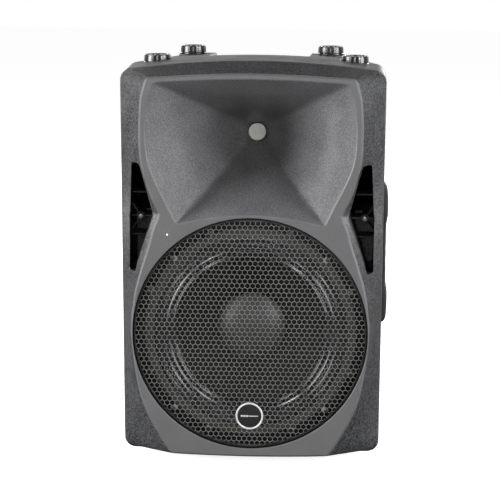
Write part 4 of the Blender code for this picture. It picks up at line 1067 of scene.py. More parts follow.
def make_surround():
    """Pleated cloth surround and corrugated spider, each in sectors."""
    pleats = []
    for step in range(49):
        share = step / 48
        radius = mix(PLEAT_OUT, PLEAT_IN, share)
        wave = 0.5 - 0.5 * math.cos(math.tau * PLEATS * share)
        rise = PLEAT_RISE * mix(0.3, 1.0, share**2)
        pleats.append((radius, mix(18.2, 20.6, share) - rise * wave**0.8))
    front = [(136.0, 18.2)] + pleats + [(PLEAT_IN - 1.6, 24.6)]
    roll = front + [(radius, depth + 0.8) for radius, depth in reversed(front)]
    ripple = []
    for step in range(43):
        radius = 32.8 + 41.2 * step / 42
        ripple.append((radius, 75.75 + 0.75 * math.cos(math.tau * step / 12)))
    ripple.append((84.0, 75.3))
    spider = ripple + [(radius, depth + 0.5) for radius, depth in reversed(ripple)]
    count = 24
    for i in range(count):
        span = (math.tau * i / count, math.tau * (i + 1) / count)
        number = f"{i + 1:02d}"
        names = ("surround_" + number, "spider_" + number)
        bend = (PLEAT_OUT - 1.0, PLEAT_IN + 1.0)
        arc_wedge(names[0], roll, "roll", "surround_rubber", span, *bend, "woofer_surround")
        arc_wedge(names[1], spider, "spider_cloth", "spider_cloth", span, 76.0, 33.0, "spider")


def make_cone():
    """Gasket, cone with moulded ribs near its edge, and the domed cap."""
    axis = at(0, 0, 0)
    shape = bmesh.new()
    profile = [(133.5, 16.6), (145.5, 16.6), (145.5, 19.2), (137.0, 19.2), (137.0, 17.9), (133.5, 17.9)]
    turn(shape, rounded(profile, [0.5, 0.5, 0, 0, 0, 0], 3), axis, steps=ROUND, ring=True)
    piece("gasket_ring", shape, "gasket", stands_for=("woofer_gasket",))

    front = smooth([(CONE_R, 21.0), (95.0, 28.0), (72.0, 41.5), (47.0, 57.4), (33.0, 66.0)], 12)
    ribbed = []
    for radius, depth in front:
        inside = 52.0 < radius < 104.0
        ribbed.append((radius, depth + (0.35 * math.sin(radius * 1.3) if inside else 0.0)))
    back = [(radius, depth + 1.2) for radius, depth in reversed(front)]
    shape = bmesh.new()
    turn(shape, ribbed + back, axis, steps=ROUND, ring=True)
    piece("cone", shape, "paper", "cone_assembly", ("woofer_cone",))

    cap = smooth([(0.3, 41.6), (16.0, 42.8), (29.0, 46.2), (40.0, 51.4), (47.0, 56.6)], 6)
    under = [(max(0.2, radius - 0.5), depth + 0.8) for radius, depth in reversed(cap)]
    shape = bmesh.new()
    turn(shape, [tuple(p) for p in cap] + under, axis, steps=ROUND)
    piece("cap_dome", shape, "cap", "cone_assembly", ("dust_cap",))
    shape = bmesh.new()
    angles = [math.tau * i / 8 for i in range(8)]
    bead = [(47.6 + 0.9 * math.cos(a), 56.2 + 0.8 * math.sin(a)) for a in angles]
    turn(shape, bead, axis, steps=ROUND, ring=True)
    piece("cap_glue_bead", shape, "roll", "cone_assembly")


def make_throat_screen():
    """Cloth screen in the throat, and the bolts of the driver behind it."""
    shape = bmesh.new()
    radius = THROAT_R - 0.4
    profile = [(0.3, 178.3), (radius * 0.6, 178.4), (radius, 178.6), (radius, 179.3)]
    turn(shape, profile, at(0, THROAT_UP, 0), steps=48)
    piece("throat_cloth", shape, "screen", stands_for=("throat_screen",))
    shape = bmesh.new()
    for side in (-1, 1):
        add_screw(shape, at(side * 38.1, THROAT_UP, 190.6), "Y", 1, 5.0, 4.0, 12.0, arms=6, washer=6.0)
    piece("driver_bolts", shape, "bolt")


# ---- rear shell ----


def half_width(depth):
    """Half-width of the shell at a depth."""
    if depth < BELT_START:
        share = max(0.0, (depth - SHELL_START) / (BELT_START - SHELL_START))
        return mix(RIM_HALF, BELT_HALF, math.sin(share * math.pi / 2))
    if depth < BELT_END:
        return BELT_HALF
    return mix(BELT_HALF, REAR_HALF, (depth - BELT_END) / (DEPTH - BELT_END))


def crest(depth):
    """Heights of the shell's top at its middle and at its shoulders."""
    if depth < BELT_END:
        share = (depth - RIM_DEPTH) / (BELT_END - RIM_DEPTH)
        return mix(369.7, 370.0, share), mix(358.0, 360.0, share)
    share = (depth - BELT_END) / (DEPTH - BELT_END)
    return mix(370.0, 357.0, share), mix(360.0, 353.0, share)


def arc(x, up, radius, first, last, steps=7):
    """Points on an arc about (x, up), between two angles in degrees."""
    angles = [math.radians(mix(first, last, i / steps)) for i in range(steps + 1)]
    return [(x + radius * math.cos(a), up + radius * math.sin(a)) for a in angles]


def roof(x, depth):
    """Height of the roof at a place."""
    middle, shoulder = crest(depth)
    share = min(1.0, abs(x) / (half_width(depth) - TOP_CORNER))
    return middle - (middle - shoulder) * share * share


def shell_outline(depth):
    """Outline of the rear shell at a depth."""
    width = half_width(depth)
    arch_end = width - TOP_CORNER
    low_width = width - FOOT_NARROWING
    half = [(arch_end * s / 12, roof(arch_end * s / 12, depth)) for s in range(12)]
    half += arc(arch_end, crest(depth)[1] - TOP_CORNER, TOP_CORNER, 80, 0, 8)
    half += [(mix(low_width, width, (up - BOTTOM) / 530.0), up) for up in (270, 180, 90, 0, -90)]
    half += arc(low_width - BOTTOM_CORNER, BOTTOM + BOTTOM_CORNER, BOTTOM_CORNER, 0, -90, 8)
    half += [(low_width * 0.6, BOTTOM), (low_width * 0.3, BOTTOM), (0.0, BOTTOM)]
    return both_sides(half)


def shell_body():
    """Rear moulding without openings, with its groove at the parting line and rounded rear edge."""
    depths = [SHELL_START + 6.4 * i / 5 for i in range(6)] + [90.0, 128.0, 133.0, 139.0, 200.0, 280.0]
    rings = [spread(inset(shell_outline(SHELL_START), GROOVE), SHELL_START)]
    rings += [spread(shell_outline(depth), depth) for depth in depths[2:]]
    edge = 7.0
    for step in range(7):
        a = math.pi / 2 * step / 6
        depth = DEPTH - edge + edge * math.sin(a)
        rings.append(spread(inset(shell_outline(depth), 6.0 * (1 - math.cos(a))), depth))
    inner = (DEPTH - 6.0, BELT_END, BELT_START, SHELL_START)
    inside = [spread(inset(shell_outline(depth), SHELL_WALL), depth) for depth in inner]
    shape = bmesh.new()
    faces = skin(shape, list(reversed(rings)) + list(reversed(inside)))
    count = len(rings[0])
    # The shell's inner walls take the near-black inside colour: painted shade.
    for made in faces[(len(rings) - 1) * count :]:
        made.material_index = 1
    faces[-2].material_index = 0
    return raw("shell_rear", shape, "shell", "inside")


def add_pocket_walls(shell):
    """Walls inside the shell round the pockets and the panel."""
    walls = bmesh.new()
    ends = (POCKET_FRONT - POCKET_WALL, POCKET_BACK + POCKET_WALL)
    floor = POCKET_FLOOR - POCKET_WALL
    step_up = CHANNEL_FLOOR - POCKET_WALL
    last = DEPTH - 4.0
    section = [(ends[0], floor), (ends[1], floor), (ends[1], step_up), (last, step_up)]
    section += [(last, crest(last)[0] - 3.8), (ends[0], crest(ends[0])[0] - 3.8)]
    half = POCKET_HALF + POCKET_WALL
    skin(walls, [[at(x, up, depth) for depth, up in section] for x in (-half, half)])
    carve(shell, walls, "UNION")
    frame_block = bmesh.new()
    outline = rect(-PANEL_X - 8, PANEL_X + 8, PANEL_LOW - 8, PANEL_HIGH + 8, 4)
    slab(frame_block, outline, PANEL_BACK - 12.0, 366.0, soft=0.5)
    carve(shell, frame_block, "UNION")
    near, far, low, high, deep = SIDE_POCKET
    for side in (-1, 1):
        cheeks = bmesh.new()
        depths = (near - POCKET_WALL, BELT_END, far + POCKET_WALL)
        section = [(deep - POCKET_WALL, depths[0])]
        section += [(half_width(depth) - SHELL_WALL / 2, depth) for depth in depths]
        section.append((deep - POCKET_WALL, depths[-1]))
        heights = (low - POCKET_WALL, high + POCKET_WALL)
        skin(cheeks, [[at(side * x, up, depth) for x, depth in section] for up in heights])
        carve(shell, cheeks, "UNION")


def shape_foot_seats(shell):
    """Pads under the top feet, and flat seats for the front ones."""
    pads = bmesh.new()
    for x, depth in pairs(TOP_FEET):
        inwards = math.copysign(PAD_REACH, x)
        span = sorted((x - inwards, x + math.copysign(PAD_R, x)))
        outline = rect(*span, depth - PAD_R, depth + PAD_R, PAD_R - 1.0, 12)
        slab(pads, outline, TOP_SEAT - 9.0, TOP_SEAT, 1.4, from_above, steps=4)
    carve(shell, pads, "UNION")

    seats = bmesh.new()
    for x, depth in pairs(TOP_FEET[:1]):
        well(seats, circle(x, depth, PAD_R - 0.6, 64), roof, TOP_SEAT, 1.2, from_above, way=-1, over=12.0)
    carve(shell, seats)


def cut_top_pocket(shell):
    """Channel and pocket for the top grip."""
    trough = bmesh.new()
    outline = rect(-POCKET_HALF, POCKET_HALF, POCKET_FRONT, 420.0, 9.0)
    well(trough, outline, roof, CHANNEL_FLOOR, 3.0, from_above, way=-1, over=12.0)
    carve(shell, trough)
    pocket = bmesh.new()
    outline = rect(-POCKET_HALF + 0.05, POCKET_HALF - 0.05, POCKET_FRONT + 0.05, POCKET_BACK, 9.0)
    well(pocket, outline, CHANNEL_FLOOR, POCKET_FLOOR, 0.04, from_above, way=-1, over=20.0, steps=1)
    carve(shell, pocket)


def cut_side_pocket(shell, side):
    """Finger pocket behind a side handle."""
    near, far, low, high, deep = SIDE_POCKET

    def cheek(depth, _):
        return side * half_width(depth)

    cut = bmesh.new()
    outline = rect(near, far, low, high, 7.0)
    well(cut, outline, cheek, side * deep, 3.0, from_side, way=-side, over=10.0)
    carve(shell, cut)


def cut_panel_recess(shell):
    """Opening for the amplifier, and the step that its panel lies in."""
    opening = bmesh.new()
    inner_x, inner_up = PANEL_X - 12.0, 12.0
    outline = rect(-inner_x, inner_x, PANEL_LOW + inner_up, PANEL_HIGH - inner_up, 3.0)
    slab(opening, outline, 330.0, 380.0, soft=0.0)
    carve(shell, opening)
    recess = bmesh.new()
    outline = rect(-PANEL_X - 0.6, PANEL_X + 0.6, PANEL_LOW - 0.6, PANEL_HIGH + 0.6, 2.5)
    well(recess, outline, DEPTH, PANEL_BACK - 0.3, 1.5, way=-1)
    carve(shell, recess)


def make_shell():
    """Rear moulding with all of its pockets and holes."""
    shell = shell_body()
    add_pocket_walls(shell)
    shape_foot_seats(shell)
    cut_top_pocket(shell)
    for side in (-1, 1):
        cut_side_pocket(shell, side)
    cut_panel_recess(shell)
    holes = bmesh.new()
    for x, depth in pairs(TOP_FEET):
        turn(holes, [(2.6, -12.0), (2.6, 2.0)], at(x, TOP_SEAT, depth), "Z", 12)
    for x, depth in pairs(BOTTOM_FEET):
        turn(holes, [(2.6, -2.0), (2.6, 12.0)], at(x, BOTTOM, depth), "Z", 12)
    for up in SCREW_HEIGHTS:
        for side in (-1, 1):
            turn(holes, [(2.2, 342.0), (2.2, 358.0)], at(side * SCREW_X, up, 0), steps=12)
    for up in HANDLE_SCREWS:
        for side in (-1, 1):
            bore = [(2.6, -side * 2.0), (2.6, side * 30.0)]
            turn(holes, bore, at(side * 160.0, up, HANDLE_DEPTH), "X", 12)
    turn(holes, [(POLE_R + 4.5, -4.0), (POLE_R + 4.5, 12.0)], at(0, BOTTOM, POLE_DEPTH), "Z", 64)
    carve(shell, holes)
    place_piece(shell, stands_for=("rear_shell",), even=True)


# ---- handles, feet and pole socket ----


def make_top_grip():
    """Grip across the top pocket, with fine ribs under the fingers."""
    middle = (POCKET_FRONT + POCKET_BACK) / 2
    shape = bmesh.new()
    rings = []
    count = 96
    for i in range(count + 1):
        x = mix(-71.6, 71.6, i / count)
        ease = min(1.0, (71.6 - abs(x)) / 16.0)
        ease = ease * ease * (3 - 2 * ease)
        half, lift = mix(15.0, 12.6, ease), mix(0.0, 2.0, ease)
        rib = 0.35 * (0.5 - 0.5 * math.cos(math.tau * x / 4.4)) if abs(x) < 50 else 0.0
        low, high = 338.0 + lift + rib, 356.0 - rib * 0.6
        corners = ((half, low), (half, high), (-half, high), (-half, low))
        outline = rounded(corners, 6.5, 6)
        rings.append([at(x, up, middle + d) for d, up in outline])
    skin(shape, rings)
    piece("carry_grip", shape, "soft_rubber", stands_for=("top_grip",))


def make_side_handles():
    """Rubber bar over each side pocket, waisted in the middle and fixed by two screws."""
    for side, label in ((-1, "left"), (1, "right")):
        stations = ((0, 1.4, 0.76), (3, 3.6, 0.9), (8, 5.3, 0.97), (20, 6.3, 1.0), (44, 6.5, 1.0))
        stations += ((56, 4.6, 0.88), (100, 4.2, 0.85))
        full = stations + tuple((HANDLE_LENGTH - s, h, w) for s, h, w in reversed(stations[:-1]))
        line = smooth([Vector(p) for p in full], 6)
        shape = bmesh.new()
        rings = []
        for along, height, width in line:
            up = HANDLE_LOW + along
            rib = 0.3 * (0.5 - 0.5 * math.cos(math.tau * along / 5.0)) if 60 < along < 140 else 0.0
            near, far = HANDLE_DEPTH - 15 * width, HANDLE_DEPTH + 15 * width
            out = HANDLE_OUT - 6.5 + min(6.5, height) - rib
            corners = (
                (half_width(near) + 0.5, near),
                (out, near),
                (out, far),
                (half_width(far) + 0.5, far),
            )
            soft = [0.0, min(4.0, max(0.4, height * 0.7)), min(4.0, max(0.4, height * 0.7)), 0.0]
            outline = rounded(corners, soft, 5)
            rings.append([at(side * x, up, depth) for x, depth in outline])
        skin(shape, rings)
        handle = raw("side_grip_" + label, shape, "soft_rubber")
        holes = bmesh.new()
        for up in HANDLE_SCREWS:
            profile = [(2.6, side * 170), (2.6, side * 185), (5.0, side * 185), (5.0, side * 187.6)]
            profile += [(5.5, side * 188.3), (5.6, side * 195)]
            turn(holes, profile, at(0, up, HANDLE_DEPTH), "X", SMALL)
        carve(handle, holes)
        place_piece(handle, stands_for=("side_handle_" + label,))
        screws = bmesh.new()
        for up in HANDLE_SCREWS:
            add_screw(screws, at(side * 185.05, up, HANDLE_DEPTH), "X", side, 4.4, 2.6, 20.0)
        piece("side_grip_screws_" + label, screws, "bolt")


def make_foot(name, node, base, way):
    """Turned rubber foot with a dished recess for its screw."""
    x, depth = foot_place(node)
    top = FOOT_HEIGHT
    profile = [(2.6, 0.0), (FOOT_R, 0.0), (FOOT_R, 1.6), (FOOT_R - 0.5, 2.2), (FOOT_R - 0.2, 2.8)]
    profile += [(FOOT_R - 0.7, top), (FOOT_R - 4.6, top), (FOOT_R - 5.2, top - 0.9), (11.4, top - 0.9)]
    profile += [(10.6, top - 0.2), (8.6, top - 0.4), (8.0, 5.0), (2.6, 5.0)]
    radii = [0, 0.3, 0.2, 0.2, 0.2, 1.1, 0.4, 0.3, 0.3, 0.4, 0.5, 0.8, 0]
    line = [(radius, way * along) for radius, along in rounded(profile, radii, 5)]
    shape = bmesh.new()
    turn(shape, line, at(x, base, depth), "Z", 72, ring=True)
    piece(name, shape, "rubber", stands_for=(node,))
    screw = bmesh.new()
    add_screw(screw, at(x, base + way * 5.1, depth), "Z", way, 5.2, 3.0, 12.0, washer=6.6)
    piece(name + "_screw", screw, "steel")


def make_feet():
    """Four feet on the top and four below."""
    for label in ("left", "right"):
        for end in ("front", "rear"):
            upper, lower = f"top_foot_{end}_{label}", f"foot_{end}_{label}"
            make_foot("upper_" + upper, upper, TOP_SEAT + 0.3, 1)
            make_foot("lower_" + lower, lower, BOTTOM - 0.3, -1)


def make_pole_socket():
    """Flanged socket for a stand's pole."""
    shape = bmesh.new()
    outer = POLE_R + POLE_WALL
    profile = [(outer, POLE_LENGTH + POLE_WALL), (outer, 0.0), (40.0, 0.0), (40.0, -2.5)]
    profile += [(POLE_R + 1.5, -2.5), (POLE_R, 0.0), (POLE_R, POLE_LENGTH)]
    radii = [1.0, 0.5, 0.4, 0.9, 0.5, 0.5, 0]
    turn(shape, rounded(profile, radii, 3, closed=False), at(0, BOTTOM - 0.3, POLE_DEPTH), "Z", 64)
    piece("stand_socket", shape, "black", stands_for=("pole_socket",))


# ---- amplifier panel ----


def make_panel():
    """Powder-coated panel with rounded openings, and its screws."""
    shape = bmesh.new()
    slab(shape, rect(-PANEL_X, PANEL_X, PANEL_LOW, PANEL_HIGH, 2.0), PANEL_BACK, PANEL_FACE, soft=0.35)
    panel = raw("rear_panel", shape, "panel")
    holes = bmesh.new()
    rounds = [(x, KNOB_UP, 3.6) for _, x in KNOBS]
    rounds += [(*INPUT_AT, 12.0), (*LINK_AT, 12.0), (*BUTTON_AT, 4.5)]
    rounds += [(x, up, 5.4) for x, up in JACKS_AT]
    rounds += [(side * SCREW_X, up, 2.2) for up in SCREW_HEIGHTS for side in (-1, 1)]
    for x, up, radius in rounds:
        well(holes, circle(x, up, radius), PANEL_FACE, PANEL_BACK - 2, 0.3, way=-1)
    windows = (
        (*INLET_AT, 14.5, 17.5),
        (*SWITCH_AT, 10.0, 14.0),
        (*SELECTOR_AT, 8.5, 6.5),
        (INPUT_AT[0], INPUT_AT[1] + 16.0, 4.6, 2.6),
    )
    for x, up, half_x, half_up in windows:
        outline = rect(x - half_x, x + half_x, up - half_up, up + half_up, 0.8)
        well(holes, outline, PANEL_FACE, PANEL_BACK - 2, 0.3, way=-1)
    carve(panel, holes)
    place_piece(panel, stands_for=("amp_panel",), even=True)
    screws = bmesh.new()
    for up in SCREW_HEIGHTS:
        for side in (-1, 1):
            add_screw(screws, at(side * SCREW_X, up, PANEL_FACE + 0.05), "Y", 1, 3.8, 2.3, 12.0)
    piece("panel_screws", screws, "bolt")


def mark_bar(shape, x0, up0, x1, up1, width=0.5):
    """A thin printed line on the panel."""
    start, end = Vector((x0, up0)), Vector((x1, up1))
    across = (end - start).normalized()
    side = Vector((-across.y, across.x)) * width / 2
    corners = (start + side, end + side, end - side, start - side)
    depths = (PANEL_FACE - 0.05, PANEL_FACE + 0.06)
    skin(shape, [[at(x, up, depth) for x, up in corners] for depth in depths])


def mark_frame(shape, x0, x1, up0, up1, radius=3.0):
    """A printed frame with round corners."""
    outline = rect(x0, x1, up0, up1, radius)
    for a, b in zip(outline, outline[1:] + outline[:1]):
        if (Vector(a) - Vector(b)).length > 0.05:
            mark_bar(shape, *a, *b, width=0.6)


def mark_number(text, x, up, size):
    """A printed number beside a control."""
    curve = bpy.data.curves.new("number", "FONT")
    curve.body = text
    curve.size = size * MM
    curve.align_x = "CENTER"
    curve.align_y = "CENTER"
    curve.extrude = 0.05 * MM
    writing = bpy.data.objects.new("number", curve)
    bpy.context.scene.collection.objects.link(writing)
    bpy.context.view_layer.update()
    mesh = bpy.data.meshes.new_from_object(writing.evaluated_get(bpy.context.evaluated_depsgraph_get()))
    bpy.data.objects.remove(writing)
    bpy.data.curves.remove(curve)
    turned = Matrix.Translation(at(x, up, PANEL_FACE)) @ Matrix.Rotation(math.pi, 4, "Z")
    mesh.transform(turned @ Matrix.Rotation(math.pi / 2, 4, "X"))
    return mesh


def make_markings():
    """Dial ticks, numbers, group frames and plain symbols."""
    shape = bmesh.new()
    for _, x in KNOBS:
        for step in range(11):
            angle = math.radians(-150 + 30 * step)
            way = Vector((-math.sin(angle), math.cos(angle)))
            inner, outer = (9.4, 11.6) if step % 5 else (9.4, 12.6)
            centre = Vector((x, KNOB_UP))
            mark_bar(shape, *(centre + way * inner), *(centre + way * outer))
        for text, way_x in (("0", 1), ("10", -1)):
            writing = mark_number(text, x + way_x * 9.4, KNOB_UP - 13.8, 4.2)
            shape.from_mesh(writing)
            bpy.data.meshes.remove(writing)
    mark_frame(shape, -90.0, -2.0, 98.0, 138.0)
    mark_frame(shape, 2.0, 90.0, 98.0, 138.0)
    mark_frame(shape, -90.0, 90.0, 52.0, 93.0)
    mark_frame(shape, -90.0, 90.0, -28.0, 30.0)
    for x, up in ((-81.0, 58.0), (INPUT_AT[0], 56.5), (LINK_AT[0], 56.5)):
        mark_bar(shape, x - 3.0, up, x + 3.0, up, 0.8)
    for x, up in JACKS_AT:
        mark_bar(shape, x - 2.0, up - 12.0, x + 2.0, up - 12.0, 0.8)
    mark_bar(shape, SWITCH_AT[0] - 15.5, 12.0, SWITCH_AT[0] - 15.5, 16.0, 0.8)
    ring = circle(SWITCH_AT[0] - 15.5, -8.0, 2.1, 16)
    for a, b in zip(ring, ring[1:] + ring[:1]):
        mark_bar(shape, *a, *b, width=0.7)
    piece("panel_print", shape, "mark")


def make_heatsink():
    """Extruded heatsink with rounded fins."""
    half, base, tip, fin = 82.0, ON_PANEL + 2.5, 369.6, 2.4
    pitch = (2 * half - fin) / (FINS - 1)
    comb = [(-half, ON_PANEL, 0.0)]
    for i in range(FINS):
        left = -half + pitch * i
        if i > 0:
            comb.append((left, base, 1.2))
        comb += [(left, tip, 1.0), (left + fin, tip, 1.0)]
        if i < FINS - 1:
            comb.append((left + fin, base, 1.2))
    comb.append((half, ON_PANEL, 0.0))
    outline = rounded([(x, d) for x, d, _ in comb], [r for _, _, r in comb], 4)
    outline = [tuple(p) for p in outline]
    shape = bmesh.new()
    slab(shape, outline, -142.0, -34.0, soft=0.3, place=lambda x, d, up: at(x, up, d), steps=2)
    piece("cooling_fins", shape, "aluminium", stands_for=("heatsink",))


def make_knobs():
    """Fluted knobs with a raised pointer line."""
    for name, x in KNOBS:
        shape = bmesh.new()
        profile = [(3.3, 366.8), (3.3, 359.8), (7.8, 359.8), (7.8, 361.0)]
        profile += [(7.0, 361.6), (6.1, 369.6), (0.3, 369.4)]
        line = rounded(profile, [0, 0, 0.3, 0.3, 0.5, 0.7, 0], 4, closed=False)

        def flute(angle):
            return 1.0 - 0.045 * (0.5 + 0.5 * math.cos(18 * angle)) ** 2

        centre = at(x, KNOB_UP, 0)
        rings = []
        angles = [math.tau * i / 144 for i in range(144)]
        for radius, depth in line:
            shaped = flute if radius > 4.0 and depth > 361.3 else (lambda angle: 1.0)
            ring = []
            for a in angles:
                reach = radius * shaped(a) * MM
                ring.append(centre + Vector((math.sin(a) * reach, depth * MM, math.cos(a) * reach)))
            rings.append(ring)
        skin(shape, rings)
        body = KNOB_BODY[name]
        piece("dial_" + name, shape, "black", body, (name,))
        pointer = bmesh.new()
        slab(pointer, rect(x - 0.45, x + 0.45, KNOB_UP + 0.8, KNOB_UP + 5.5, 0.3), 369.2, 369.6, soft=0.08)
        piece("pointer_" + name, pointer, "mark", body)


def make_button():
    """Round push button and its collar."""
    shape = bmesh.new()
    line = [(4.0, 352.0), (4.0, 366.0), (2.6, 365.7), (0.3, 365.5)]
    turn(shape, rounded(line, [0, 0.7, 0.8, 0], 4, closed=False), at(*BUTTON_AT, 0), steps=48)
    piece("mode_key", shape, "black", "mode_button", ("push_button",))
    shape = bmesh.new()
    ring = [(4.3, PANEL_FACE - 1.0), (4.3, 360.4), (6.6, 360.0), (6.8, PANEL_FACE + 0.05)]
    turn(shape, rounded(ring, [0, 0.3, 0.5, 0], 3), at(*BUTTON_AT, 0), steps=48, ring=True)
    piece("mode_key_collar", shape, "black")


def make_power_switch():
    """Rocker switch in its bezel, with a bar and a ring on the rocker."""
    x, up = SWITCH_AT
    shape = bmesh.new()
    slab(shape, rect(x - 12, x + 12, up - 16, up + 16, 2.0), ON_PANEL, 360.8, soft=0.5)
    frame_piece = raw("switch_bezel", shape, "black")
    neck = bmesh.new()
    slab(neck, rect(x - 9.6, x + 9.6, up - 13.6, up + 13.6, 1.0), 341.0, 359.9, soft=0.3)
    carve(frame_piece, neck, "UNION")
    hollow = bmesh.new()
    well(hollow, rect(x - 7.2, x + 7.2, up - 11.2, up + 11.2, 0.8), 360.8, 344.0, 0.5, way=-1)
    carve(frame_piece, hollow)
    place_piece(frame_piece, stands_for=("switch_frame",), even=True)

    section = ((-9.2, 7.5), (0, 5.6), (9.2, 7.5), (9.2, 1.0), (0, -4.5), (-9.2, 1.0))
    section = rounded(section, [0.9, 9.0, 0.9, 1.5, 2.0, 1.5], 5)
    cos, sin = math.cos(-SWITCH_TILT), math.sin(-SWITCH_TILT)
    outline = [(h * cos + d * sin, d * cos - h * sin) for h, d in section]
    outline = [tuple(p) for p in outline]
    shape = bmesh.new()
    slab(shape, outline, x - 6.8, x + 6.8, 0.4, lambda h, d, edge: at(edge, up + h, SWITCH_PIVOT + d))
    piece("power_key", shape, "red", "power_rocker", ("switch_rocker",))
    marks = bmesh.new()
    for height in (5.6, -5.6):
        share = 1.0 - abs(height) / 9.2
        surface = 7.5 - 1.9 * share + 0.06
        base_h, base_d = height * cos + surface * sin, surface * cos - height * sin
        if height > 0:
            corners = rect(x - 0.4, x + 0.4, up + base_h - 1.6, up + base_h + 1.6, 0.2)
            slab(marks, corners, SWITCH_PIVOT + base_d - 0.25, SWITCH_PIVOT + base_d + 0.1, soft=0.05)
        else:
            ring = [(1.6, -0.2), (1.6, 0.1), (1.1, 0.1), (1.1, -0.2)]
            turn(marks, ring, at(x, up + base_h, SWITCH_PIVOT + base_d), steps=24, ring=True)
    piece("power_key_marks", marks, "mark", "power_rocker")


def make_selector():
    """Slide switch in its bezel."""
    x, up = SELECTOR_AT
    shape = bmesh.new()
    slab(shape, rect(x - 12, x + 12, up - 8.5, up + 8.5, 2.0), ON_PANEL, 360.9, soft=0.4)
    frame_piece = raw("selector_bezel", shape, "black")
    neck = bmesh.new()
    slab(neck, rect(x - 8.2, x + 8.2, up - 6.2, up + 6.2, 0.8), 346.0, 360.0, soft=0.3)
    carve(frame_piece, neck, "UNION")
    slot = bmesh.new()
    well(slot, rect(x - 5.6, x + 5.6, up - 3.6, up + 3.6, 0.6), 360.9, 350.0, 0.4, way=-1)
    carve(frame_piece, slot)
    place_piece(frame_piece, stands_for=("selector_frame",), even=True)
    shape = bmesh.new()
    slab(shape, rect(x - 5.2, x + 0.4, up - 3.2, up + 3.2, 0.5), 351.0, 360.0, soft=0.35)
    slider = raw("selector_key", shape, "red")
    groove = bmesh.new()
    slab(groove, rect(x - 4.4, x - 0.4, up - 0.5, up + 0.5, 0.2), 359.0, 362.0, soft=0.0)
    carve(slider, groove)
    place_piece(slider, "voltage_slider", ("selector_slider",), even=True)


def make_input_socket():
    """Combined socket with three pin holes and a jack bore, and its sliding latch."""
    centre = at(*INPUT_AT, 0)
    shape = bmesh.new()
    profile = [(3.3, 342.0), (3.3, 359.4), (8.2, 359.4), (8.2, 347.0), (9.7, 347.0), (9.7, 361.2)]
    profile += [(13.0, 361.2), (13.0, ON_PANEL), (11.5, ON_PANEL), (11.5, 342.0)]
    radii = [0.2, 0.5, 0.5, 0.2, 0.2, 0.5, 0.6, 0.1, 0.1, 0.3]
    turn(shape, rounded(profile, radii, 3), centre, steps=64, ring=True)
    socket = raw("input_body", shape, "black")
    pins = bmesh.new()
    for degrees in (30.0, 150.0, 270.0):
        angle = math.radians(degrees)
        x, up = INPUT_AT[0] + 5.8 * math.cos(angle), INPUT_AT[1] + 5.8 * math.sin(angle)
        well(pins, circle(x, up, 1.1, 16), 359.4, 350.0, 0.2, way=-1)
    carve(socket, pins)
    place_piece(socket, stands_for=("input_socket",), even=True)
    shape = bmesh.new()
    x, up = INPUT_AT[0], INPUT_AT[1] + 16.0
    slab(shape, rect(x - 4, x + 4, up - 2, up + 2, 0.8), 351.0, 363.0, soft=0.6)
    piece("latch_key", shape, "steel", "input_latch", ("socket_latch",))


def make_link_socket():
    """Round socket with three pins."""
    centre = at(*LINK_AT, 0)
    shape = bmesh.new()
    profile = [(11.5, 342.0), (11.5, ON_PANEL), (13.0, ON_PANEL), (13.0, 361.2), (9.5, 361.2), (9.5, 347.0)]
    radii = [0.3, 0.1, 0.1, 0.6, 0.5, 0]
    turn(shape, rounded(profile, radii, 3, closed=False), centre, steps=64)
    piece("link_body", shape, "black", stands_for=("link_socket",))
    pins = bmesh.new()
    for degrees in (210.0, 330.0, 90.0):
        angle = math.radians(degrees)
        spot = at(LINK_AT[0] + 4.6 * math.cos(angle), LINK_AT[1] + 4.6 * math.sin(angle), 0)
        line = rounded([(1.2, 346.5), (1.2, 356.2), (0.2, 356.8)], [0, 0.8, 0], 4, closed=False)
        turn(pins, line, spot, steps=16)
    piece("link_pins", pins, "silver")


def make_line_jacks():
    """Two jack sockets on one plate, each with a nut."""
    (first_x, up), (second_x, _) = JACKS_AT
    shape = bmesh.new()
    slab(shape, rect(second_x - 8, first_x + 8, up - 8, up + 8, 3.0), ON_PANEL, 361.0, soft=0.4)
    plate = raw("jack_plate", shape, "black")
    barrels, bores = bmesh.new(), bmesh.new()
    for x, height in JACKS_AT:
        turn(barrels, [(5.0, 342.0), (5.0, 360.0)], at(x, height, 0), steps=SMALL)
        well(bores, circle(x, height, 3.3), 361.0, 335.0, 0.3, way=-1)
    carve(plate, barrels, "UNION")
    carve(plate, bores)
    place_piece(plate, stands_for=("line_jacks",), even=True)
    nuts = bmesh.new()
    for x, height in JACKS_AT:
        ring = rounded([(3.4, 361.05), (3.4, 362.6), (5.7, 362.6), (5.7, 361.05)], [0, 0.3, 0.5, 0], 3)
        turn(nuts, ring, at(x, height, 0), steps=48, ring=True, wave=lambda a: 1 - 0.03 * math.cos(24 * a))
    piece("jack_nuts", nuts, "steel")


